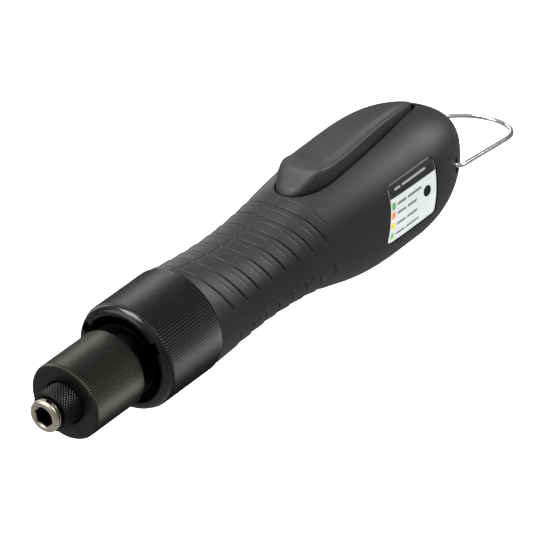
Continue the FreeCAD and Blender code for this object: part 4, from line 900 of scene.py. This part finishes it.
# %% Bit holder
HEX_TURN, HEX_ACROSS, BALL_X, BALL_HOLE = 21.0, 6.45, 9.4, 1.2
spindle = lathe("bit_holder", rounded([
    (0.0, 0.0, 0), (0.0, 5.1, 0.1), (0.45, 5.55, 0.25), (1.3, 5.55, 0.15), (1.3, 5.0, 0), (1.75, 5.0, 0),
    (1.75, 4.5, 0), (2.65, 4.5, 0), (2.65, 5.0, 0), (15.8, 5.0, 0), (15.8, 6.1, 0.1), (17.2, 6.1, 0.1),
    (17.2, 5.0, 0), (53.2, 5.0, 0), (53.2, 10.8, 0.1), (55.6, 10.8, 0.1), (55.6, 0.0, 0)], 0.1, 5), steps=96)
corner = HEX_ACROSS / (2 * math.cos(math.radians(30)))
hexagon = [corner * turned_way(HEX_TURN + 60 * k)[1:] for k in range(6)]
hole = prism_between("hexagon_hole", [tuple(p) for p in hexagon], -1.0, 12.5, axis=0)
lead_in = lathe("hexagon_lead", [(-1.0, 0.0), (-1.0, 4.75), (0.45, 3.3), (0.45, 0.0)], steps=96)
middle = np.array([BALL_X, 0, 0])
balls = [tube_bar(f"ball_hole_{side}", BALL_HOLE, middle, middle + 6 * turned_way(HEX_TURN + 30 + side))
         for side in (0, 180)]
carve(spindle, [hole, lead_in, *balls])
sharpen(spindle, 30)

# %% Finish of the bit holder
holder_look = metal("holder_nickel", (0.64, 0.60, 0.47), (0.72, 0.68, 0.56), 0.33, brushed=(1.0, 0.2, 0.2))
from_axis = (holder_look.y * holder_look.y + holder_look.z * holder_look.z).math("SQRT")
# Painted shade: the plated colour turns dark brown inside the hexagon bore and the ring's groove.
bore_painted_shade = (1.0 - from_axis.rise(0.00372, 0.00378)) * holder_look.x.rise(0.0003, 0.0014)
groove_painted_shade = ((1.0 - from_axis.rise(0.00502, 0.0052)) * holder_look.x.rise(0.0012, 0.0013)
             * (1.0 - holder_look.x.rise(0.0034, 0.0040)))
plated = holder_look.shader.inputs["Base Color"].links[0].from_socket
holder_look.feed("Base Color", holder_look.mix(bore_painted_shade.max(groove_painted_shade), plated, (0.045, 0.040, 0.030)))
dress(spindle, holder_look)
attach(spindle, "spindle")
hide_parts("bit_spindle")

# %% Spring ring
RING_TURN, RING_GAP = 105, 1.2
clip = lathe("holder_ring", rounded([(1.85, 4.55), (1.85, 5.45), (2.55, 5.45), (2.55, 4.55)], 0.3, 6),
             steps=160)
carve(clip, [outward_block("ring_gap", RING_TURN, 3, 7, RING_GAP, 0.5, 4.0)])
sharpen(clip, 50)
ring_look = metal("ring_steel", (0.42, 0.39, 0.30), (0.52, 0.49, 0.40), 0.25)
dress(clip, ring_look)
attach(clip, "spindle")
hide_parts("retaining_ring")
print("ring gap", 2 * RING_GAP, "mm")

# %% [markdown]
# ## Nose ring and clutch tube
# Inside the collar sits a glossy ring with three slots for a spanner, and inside that a stepped dark tube
# round the clutch. Both were turned, so both are turned here. The ring's front is a soft bead, drawn as
# part of an ellipse, because that bead carries the brightest reflection of the nose.

# %% Nose ring
BEAD_X, BEAD_RADIUS, BEAD_LONG, BEAD_HIGH = 41.9, 16.2, 2.5, 2.25
SLOT_NEAR, SLOT_FAR, SLOT_HALF, INDEX_X, INDEX_TURN, INDEX_HOLE = 14.5, 17.3, 2.05, 46.5, 40, 0.86
bead = [(BEAD_X - BEAD_LONG * math.cos(t), BEAD_RADIUS + BEAD_HIGH * math.sin(t), 0.0)
        for t in np.radians(np.linspace(-18, 90, 22))]
nose = lathe("nose_ring_turned", rounded(bead + [
    (BEAD_X, 16.25, 0.05), (49.85, 16.25, 0.1), (49.85, 15.5, 0.1), (40.4, 15.5, 0.1)], 0.1, 8), steps=240)
slots = [outward_block(f"nose_slot_{k}", -90 + 120 * k, SLOT_NEAR, SLOT_FAR, SLOT_HALF, 38.0, 41.4)
         for k in range(3)]
middle = np.array([INDEX_X, 0, 0])
slots.append(tube_bar("index_hole", INDEX_HOLE, middle + 14.5 * turned_way(INDEX_TURN),
                      middle + 18 * turned_way(INDEX_TURN)))
carve(nose, slots)
sharpen(nose, 40)
nose_look = plastic("nose_gloss", (0.0025, 0.0025, 0.0028), (0.0045, 0.0045, 0.005), 0.2, depth=0.000003,
                    spread=0.03, Specular_IOR_Level=0.5)
dress(nose, nose_look)
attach(nose, "housing")
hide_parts("nose_ring")

# %% Clutch tube
case = lathe("clutch_tube", rounded([
    (27.0, 8.6, 0.1), (27.0, 9.7, 0.3), (40.0, 9.7, 0.05), (40.0, 12.4, 0.3), (49.9, 12.4, 0.05),
    (49.9, 16.3, 0.1), (54.1, 16.3, 0.1), (54.1, 13.6, 0.05), (80.0, 13.6, 0.1), (80.0, 12.2, 0.1),
    (51.15, 12.2, 0.1), (51.15, 8.6, 0.1)], 0.1, 5), steps=160)
sharpen(case, 35)
# Painted shade: a near-black metal on the clutch tube stands for the deep shade inside the collar's recess.
case_painted_shade_look = metal("case_black_painted_shade", (0.004, 0.004, 0.0044), (0.008, 0.008, 0.0088), 0.46,
                  brushed=(1.0, 0.3, 0.3))
dress(case, case_painted_shade_look)
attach(case, "housing")
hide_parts("clutch_case")

# %% [markdown]
# ## Label and lamp window
# The label is a thin printed plate that follows the curve of the side, with a dark window over the lamp.
# A picture could carry the print, but it would blur close up. The plate is a curved slab cut to the
# label's outline, and its field, band, frame, bars and coloured marks are sums on the place.

# %% Label plate
LABEL_BACK, LABEL_FACE = 0.82, 0.22
plate = prism_between("label_field", grown(LABEL_CORNERS, 0.0, LABEL_ROUND), LABEL_OUT, LABEL_IN)
skin = side_slab("label_skin", LABEL_BACK, LABEL_FACE, -1, LABEL_X, LABEL_Z)
lens_hole = tube_bar("label_lens_hole", LENS_HOLE, (LENS_X, -30, 0), (LENS_X, -10, 0))
carve(plate, [skin], "INTERSECT")
carve(plate, [lens_hole])
sharpen(plate, 40)

# %% Places on the label
# Each mark: its middle in millimetres, its colour, and where its line ends.
MARKS = (((156.6, 2.9), (0.06, 0.30, 0.10), 171.5), ((156.0, -0.3), (0.72, 0.17, 0.03), 168.5),
         ((155.4, -4.05), (0.72, 0.50, 0.04), 168.5), ((155.0, -7.8), (0.16, 0.42, 0.12), 169.5))
MARK_HALF_X, MARK_HALF_Z, BAR_HALF_Z, BAR_SHARE = 0.85, 1.15, 0.45, 0.8
HEADER_BARS, HEADER_Z = ((158.8, 161.8), (162.8, 175.6)), (7.5, 8.2)
BAR_COLOUR, HEADER_COLOUR = (0.05, 0.05, 0.055), (0.30, 0.31, 0.31)
BAND_COLOUR, FRAME_COLOUR = (0.014, 0.014, 0.015), (0.22, 0.23, 0.22)
LEFT_LEAN, RIGHT_LEAN, BAND_LEAN, BAND_X, BAND_Z = 0.1611, 0.109, 0.017, 154.7, 5.6
(label_left, label_top), (label_right, _) = LABEL_CORNERS[:2]
label_look = Look("label_print", Specular_IOR_Level=0.35)
x_mm, z_mm = label_look.x * 1000.0, label_look.z * 1000.0
from_left = x_mm - (z_mm - label_top) * LEFT_LEAN - label_left
from_right = (z_mm - label_top) * RIGHT_LEAN + label_right - x_mm


def patch(low_x, high_x, low_z, high_z, soft=0.12):
    """1 inside a box of the label in millimetres, leaning as the label's left edge does."""
    across = x_mm - (z_mm - (low_z + high_z) / 2) * LEFT_LEAN
    return (across.rise(low_x - soft, low_x + soft) * (1.0 - across.rise(high_x - soft, high_x + soft))
            * z_mm.rise(low_z - soft, low_z + soft) * (1.0 - z_mm.rise(high_z - soft, high_z + soft)))


print("marks", len(MARKS))

# %% Print of the label
tint = label_look.mix(label_look.noise(160.0).rise(0.3, 0.7), (0.50, 0.535, 0.515), (0.54, 0.575, 0.555))
below_band = 1.0 - (z_mm - (BAND_Z - (x_mm - BAND_X) * BAND_LEAN)).rise(-0.1, 0.1)
inside = (from_left.rise(0.35, 0.6) * from_right.rise(0.35, 0.6) * z_mm.rise(-10.5, -10.25))
colour = label_look.mix(inside * below_band, BAND_COLOUR, tint)
for (mark_x, mark_z), paint, line_end in MARKS:
    mark = patch(mark_x - MARK_HALF_X, mark_x + MARK_HALF_X, mark_z - MARK_HALF_Z, mark_z + MARK_HALF_Z)
    colour = label_look.mix(mark, colour, paint)
    for low_x, high_x in ((mark_x + 2.0, mark_x + 6.6), (mark_x + 7.5, line_end)):
        bar = patch(low_x, high_x, mark_z - BAR_HALF_Z, mark_z + BAR_HALF_Z) * BAR_SHARE
        colour = label_look.mix(bar, colour, BAR_COLOUR)
for low_x, high_x in HEADER_BARS:
    colour = label_look.mix(patch(low_x, high_x, *HEADER_Z), colour, HEADER_COLOUR)
rim = ((1.0 - from_left.rise(0.5, 0.65) * from_right.rise(0.5, 0.65) * (1.0 - z_mm.rise(9.65, 9.8)))
       * z_mm.rise(5.0, 5.4) * from_left.rise(0.12, 0.25) * from_right.rise(0.12, 0.25))
colour = label_look.mix(rim * 0.5, colour, FRAME_COLOUR)
label_look.feed("Base Color", colour)
label_look.feed("Roughness", label_look.noise(300.0) * 0.15 + 0.36)
label_look.bump(label_look.noise(900.0), 0.00001)
dress(plate, label_look)
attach(plate, "housing")
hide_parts("label_plate")
print("label nodes", len(label_look.tree.nodes))

# %% Lamp window
lens = tube_bar("lens_window", 1.9, (LENS_X, -26, 0), (LENS_X, -16.35, 0), 64)
lens_skin = side_slab("lens_skin", 6.0, 0.12, -1, (170, 179), (-4, 4), 40, 40)
carve(lens, [lens_skin], "INTERSECT")
sharpen(lens, 35)
lens_look = plastic("lens_dark", (0.0015, 0.0015, 0.002), (0.003, 0.003, 0.004), 0.2, depth=0.000002,
                    Specular_IOR_Level=0.3)
dress(lens, lens_look)
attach(lens, "housing")
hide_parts("status_lens")

# %% [markdown]
# ## Hanging loop
# A chrome wire hooks into the two sides of the tail and swings, so that the tool can hang. A bevelled
# curve could be used, but here the wire's bends have to be true arcs that meet its straight runs without
# a corner. So its middle line is worked out in its own plane, and a ring of points is set round each place.

# %% Middle line of the wire
BAIL_PIVOT = np.array([195.0, 0.0, -1.5])
BAIL_REACH, BAIL_ROUND, BAIL_BEND, BAIL_TONGUE = 32.0, 14.5, 2.4, 5.0


def bail_path():
    """The wire's middle line in its own plane: tongue, bend, leg, round end and back."""
    half, reach, round_end, bend = BAIL_HALF, BAIL_REACH, BAIL_ROUND, BAIL_BEND
    distance = math.hypot(reach, half)
    lean = math.asin(round_end / distance) - math.asin(half / distance)
    touch = np.array([reach - round_end * math.sin(lean), -round_end * math.cos(lean)])
    corner = np.array([0.0, -half])
    along = (touch - corner) / np.linalg.norm(touch - corner)
    path = [np.array([0.0, -half + BAIL_TONGUE])]
    path += round_corner(corner, np.array([0.0, 1.0]), along, bend, 14)
    leg = touch - path[-1]
    path += [touch - leg * (1 - t) for t in np.linspace(0, 1, 14)[1:-1]]
    start = math.atan2(touch[1], touch[0] - reach)
    for angle in np.linspace(start, 0, 34):
        path.append(np.array([reach, 0]) + round_end * np.array([math.cos(angle), math.sin(angle)]))
    return np.array(path + [p * [1, -1] for p in path[:-1][::-1]])


path = bail_path()
print("loop", len(path), "places")

# %% Wire loop
WIRE, WIRE_STEPS, DROOP = 0.8, 24, 12
tangent = np.gradient(path, axis=0)
tangent /= np.linalg.norm(tangent, axis=1)[:, None]
normal = np.stack([-tangent[:, 1], tangent[:, 0]], 1)
turn = np.linspace(0, 2 * math.pi, WIRE_STEPS, endpoint=False)
droop = math.radians(DROOP)
points = []
for centre, flat in zip(path, normal):
    for angle in turn:
        x, y = centre + flat * WIRE * math.cos(angle)
        z = WIRE * math.sin(angle)
        points.append(BAIL_PIVOT + [x * math.cos(droop) + z * math.sin(droop), y,
                                    z * math.cos(droop) - x * math.sin(droop)])
faces = grid_faces(len(path), WIRE_STEPS, closed_columns=True)
faces += [tuple(range(WIRE_STEPS)), tuple(range(len(points) - 1, len(points) - 1 - WIRE_STEPS, -1))]
bail = mesh_object("bail_wire", points, faces)
sharpen(bail, 60)
bail_look = metal("bail_chrome", (0.86, 0.86, 0.87), (0.93, 0.93, 0.93), 0.08, scale=60.0, depth=0.000001)
dress(bail, bail_look)
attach(bail, "bail")
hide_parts("hanging_bail")

# %% [markdown]
# ## Carried-over CAD pieces
# The mechanism inside, the knob, the screws and the inlet keep their CAD shape and only need a finish.
# Painting each node by itself would repeat the same steels many times. So there is one finish for each
# kind, with the nodes that wear it beside it: ground gears, plated sheet, copper, brass, board and plastics.

# %% Finishes of the other nodes
FINISHES = (
    (plastic("socket_plastic", (0.016, 0.016, 0.018), (0.028, 0.028, 0.03), 0.35),
     "power_socket direction_switch micro_switch"),
    (metal("steel_bright", (0.6, 0.6, 0.61), (0.75, 0.75, 0.76), 0.18),
     "bit_balls clutch_balls index_pin lever_pin thrust_ring motor_bearings motor_shaft"),
    (metal("steel_spring", (0.42, 0.42, 0.43), (0.56, 0.56, 0.57), 0.28),
     "sleeve_spring torque_spring lever_spring"),
    (metal("steel_ground", (0.4, 0.4, 0.41), (0.52, 0.52, 0.53), 0.32, brushed=(0.2, 1.0, 1.0)),
     "ring_gear output_carrier stage1_carrier stage1_planet_1 stage1_planet_2 stage1_planet_3 "
     "stage2_planet_1 stage2_planet_2 stage2_planet_3"),
    (metal("steel_plated", (0.5, 0.5, 0.52), (0.62, 0.62, 0.63), 0.3, brushed=(0.1, 1.0, 1.0)),
     "motor_can motor_end_cap switch_bracket stator_core"),
    (metal("copper_wire", (0.6, 0.26, 0.12), (0.75, 0.36, 0.18), 0.3, scale=1600.0, depth=0.00003),
     "stator_windings"),
    (metal("contact_brass", (0.65, 0.48, 0.2), (0.78, 0.6, 0.3), 0.22), "socket_contacts"),
    (metal("magnet_dark", (0.08, 0.08, 0.085), (0.12, 0.12, 0.13), 0.4), "rotor_magnet"),
    (plastic("board_green", (0.01, 0.1, 0.045), (0.02, 0.15, 0.07), 0.4), "control_board"),
    (plastic("plunger_red", (0.4, 0.02, 0.015), (0.55, 0.04, 0.03), 0.3), "switch_plunger"),
    (plastic("lamp_clear", (0.7, 0.78, 0.7), (0.8, 0.86, 0.8), 0.15), "status_lamp"),
    (plastic("knob_grey", (0.16, 0.16, 0.165), (0.22, 0.22, 0.225), 0.45), "direction_knob"),
    (metal("screw_black", (0.05, 0.05, 0.055), (0.09, 0.09, 0.095), 0.35), "housing_screws"),
    # The hidden case pieces share the clutch tube's near-black painted-shade metal.
    (case_painted_shade_look, "spring_seat case_cover"),
)
BY_NODE = {name: look for look, names in FINISHES for name in names.split()}
for name, look in BY_NODE.items():
    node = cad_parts[name]
    if not node.material_slots:
        node.data.materials.append(look.material)
    for place in node.material_slots:
        place.link = "OBJECT"
        place.material = look.material
print(len(BY_NODE), "nodes dressed")

# %% [markdown]
# ## Studio
# The photograph shows the tool on plain near white. A white world would be the quickest way, but it lights
# black plastic from all sides as well. Here a pale level floor and a pale round wall stand far off. The
# wall is for the camera alone, so it adds no light. The floor is clear from below, so that the underside
# can be looked at too.

# %% Floor and wall
FLOOR_MIDDLE = 100
FLOOR_DROP, FLOOR_REACH, WALL_RADIUS, WALL_HEIGHT, WALL_SIDES = 60.0, 4000.0, 3300.0, 2600.0, 96


def pale_look(name, strength):
    """Near white that glows a little, so that it stays pale under soft lamps."""
    look = Look(name, Roughness=0.9, Emission_Strength=strength)
    pale = look.mix(look.noise(3.0), (0.93, 0.93, 0.93), (0.96, 0.96, 0.96))
    return look.feed("Base Color", pale).feed("Emission Color", pale)


floor = mesh_object("floor", [(FLOOR_MIDDLE + FLOOR_REACH * a, FLOOR_REACH * b, -FLOOR_DROP)
                              for a, b in ((-1, -1), (1, -1), (1, 1), (-1, 1))], [(0, 1, 2, 3)])
floor_look = pale_look("floor_white", 0.78)
from_below = Sock(floor_look.tree, floor_look.add("ShaderNodeNewGeometry").outputs["Backfacing"])
clear = floor_look.add("ShaderNodeBsdfTransparent").outputs[0]
both = floor_look.add("ShaderNodeMixShader", Fac=from_below)
floor_look.tree.links.new(floor_look.shader.outputs[0], both.inputs[1])
floor_look.tree.links.new(clear, both.inputs[2])
floor_look.tree.links.new(both.outputs[0], floor_look.tree.nodes["Material Output"].inputs["Surface"])
dress(floor, floor_look)
ring = np.linspace(0, 2 * math.pi, WALL_SIDES, endpoint=False)
wall = mesh_object("backdrop", [(FLOOR_MIDDLE + WALL_RADIUS * math.cos(t), WALL_RADIUS * math.sin(t), z)
                                for z in (-WALL_HEIGHT, WALL_HEIGHT) for t in ring],
                   grid_faces(2, WALL_SIDES, closed_columns=True))
dress(wall, pale_look("backdrop_white", 1.0))
for thing in (floor, wall):
    thing.visible_shadow = False
    thing.visible_glossy = False
    thing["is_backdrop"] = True
wall.visible_diffuse = False
print("floor", FLOOR_DROP, "mm under the axis")

# %% [markdown]
# ## Camera and lamps
# The camera stands where the photograph's did. Its place was fitted to the circles of the nose, and a long
# lens gives the same weak perspective. The lamps could be placed in the object's axes, but it is easier to
# say in the camera's own axes where light comes from in the picture: a large key from above, a soft fill
# from the left, one from the upper right, and a weak one from behind. All are broad squares, because small
# lamps leave hard spots on the glossy ring.

# %% Camera
LENS, SENSOR, SIGHT = 358.0, 36.0, 50.0
PLACE, RIGHT, TOP = (-1.0361, -0.9825, 0.8810), (0.6091, -0.7887, -0.0829), (0.4453, 0.2536, 0.8588)
scene = bpy.context.scene
camera_data = bpy.data.cameras.new("camera")
camera_data.lens = LENS
camera_data.sensor_width = SENSOR
camera_data.clip_end = SIGHT
camera = bpy.data.objects.new("camera", camera_data)
scene.collection.objects.link(camera)
right = Vector(RIGHT).normalized()
top = Vector(TOP).normalized()
back = right.cross(top).normalized()
top = back.cross(right).normalized()
camera.matrix_world = Matrix.Translation(PLACE) @ Matrix((right, top, back)).transposed().to_4x4()
scene.camera = camera
print("camera at", tuple(round(v, 3) for v in camera.location))

# %% Lamps
CENTRE = Vector((0.11, 0.0, 0.0))
# Name, way to the right, up and towards the camera, distance in metres, size in metres, power in watts.
LAMPS = (("key", (-0.35, 1.0, 0.55), 0.9, 0.6, 11.0), ("fill", (-1.0, 0.15, 0.55), 1.0, 0.8, 3.6),
         ("rim", (0.9, 0.8, -0.1), 0.9, 0.5, 6.0), ("behind", (-0.4, 0.7, -0.9), 0.9, 0.6, 1.6))
for name, (across, up, near), distance, size, power in LAMPS:
    data = bpy.data.lights.new(name, "AREA")
    data.energy = power
    data.size = size
    lamp = bpy.data.objects.new(name, data)
    scene.collection.objects.link(lamp)
    lamp.location = CENTRE + (right * across + top * up + back * near).normalized() * distance
    lamp.rotation_mode = "QUATERNION"
    lamp.rotation_quaternion = (CENTRE - lamp.location).to_track_quat("-Z", "Y")
print("lamps", len(LAMPS))

# %% World and colours
SKY_ABOVE, SKY_BELOW, SKY_LEVEL = 0.32, 0.2, 0.16
world = bpy.data.worlds.new("studio")
world.use_nodes = True
sky = world.node_tree
way = sky.nodes.new("ShaderNodeSeparateXYZ")
sky.links.new(sky.nodes.new("ShaderNodeTexCoord").outputs["Generated"], way.inputs[0])
height = Sock(sky, way.outputs["Z"])
above = height.rise(0.15, 0.85) * SKY_ABOVE
glow = above + height.math("MULTIPLY", -1.0).rise(-0.1, 0.7) * SKY_BELOW + SKY_LEVEL
sky.links.new(glow.socket, sky.nodes["Background"].inputs["Strength"])
sky.nodes["Background"].inputs["Color"].default_value = (1, 1, 1, 1)
scene.world = world
scene.view_settings.view_transform = "Standard"
scene.view_settings.look = "None"
print("world", world.name, "view", scene.view_settings.view_transform)

# %% [markdown]
# ## Sizes and finish
# What is shown must not outgrow the CAD model. Both boxes could be compared here, but they are printed
# instead, so that they can be looked at after each render.

# %% Finish
last_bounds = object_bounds()
for first, last in zip(first_bounds, last_bounds):
    print([round(v * 1000, 1) for v in first], [round(v * 1000, 1) for v in last])
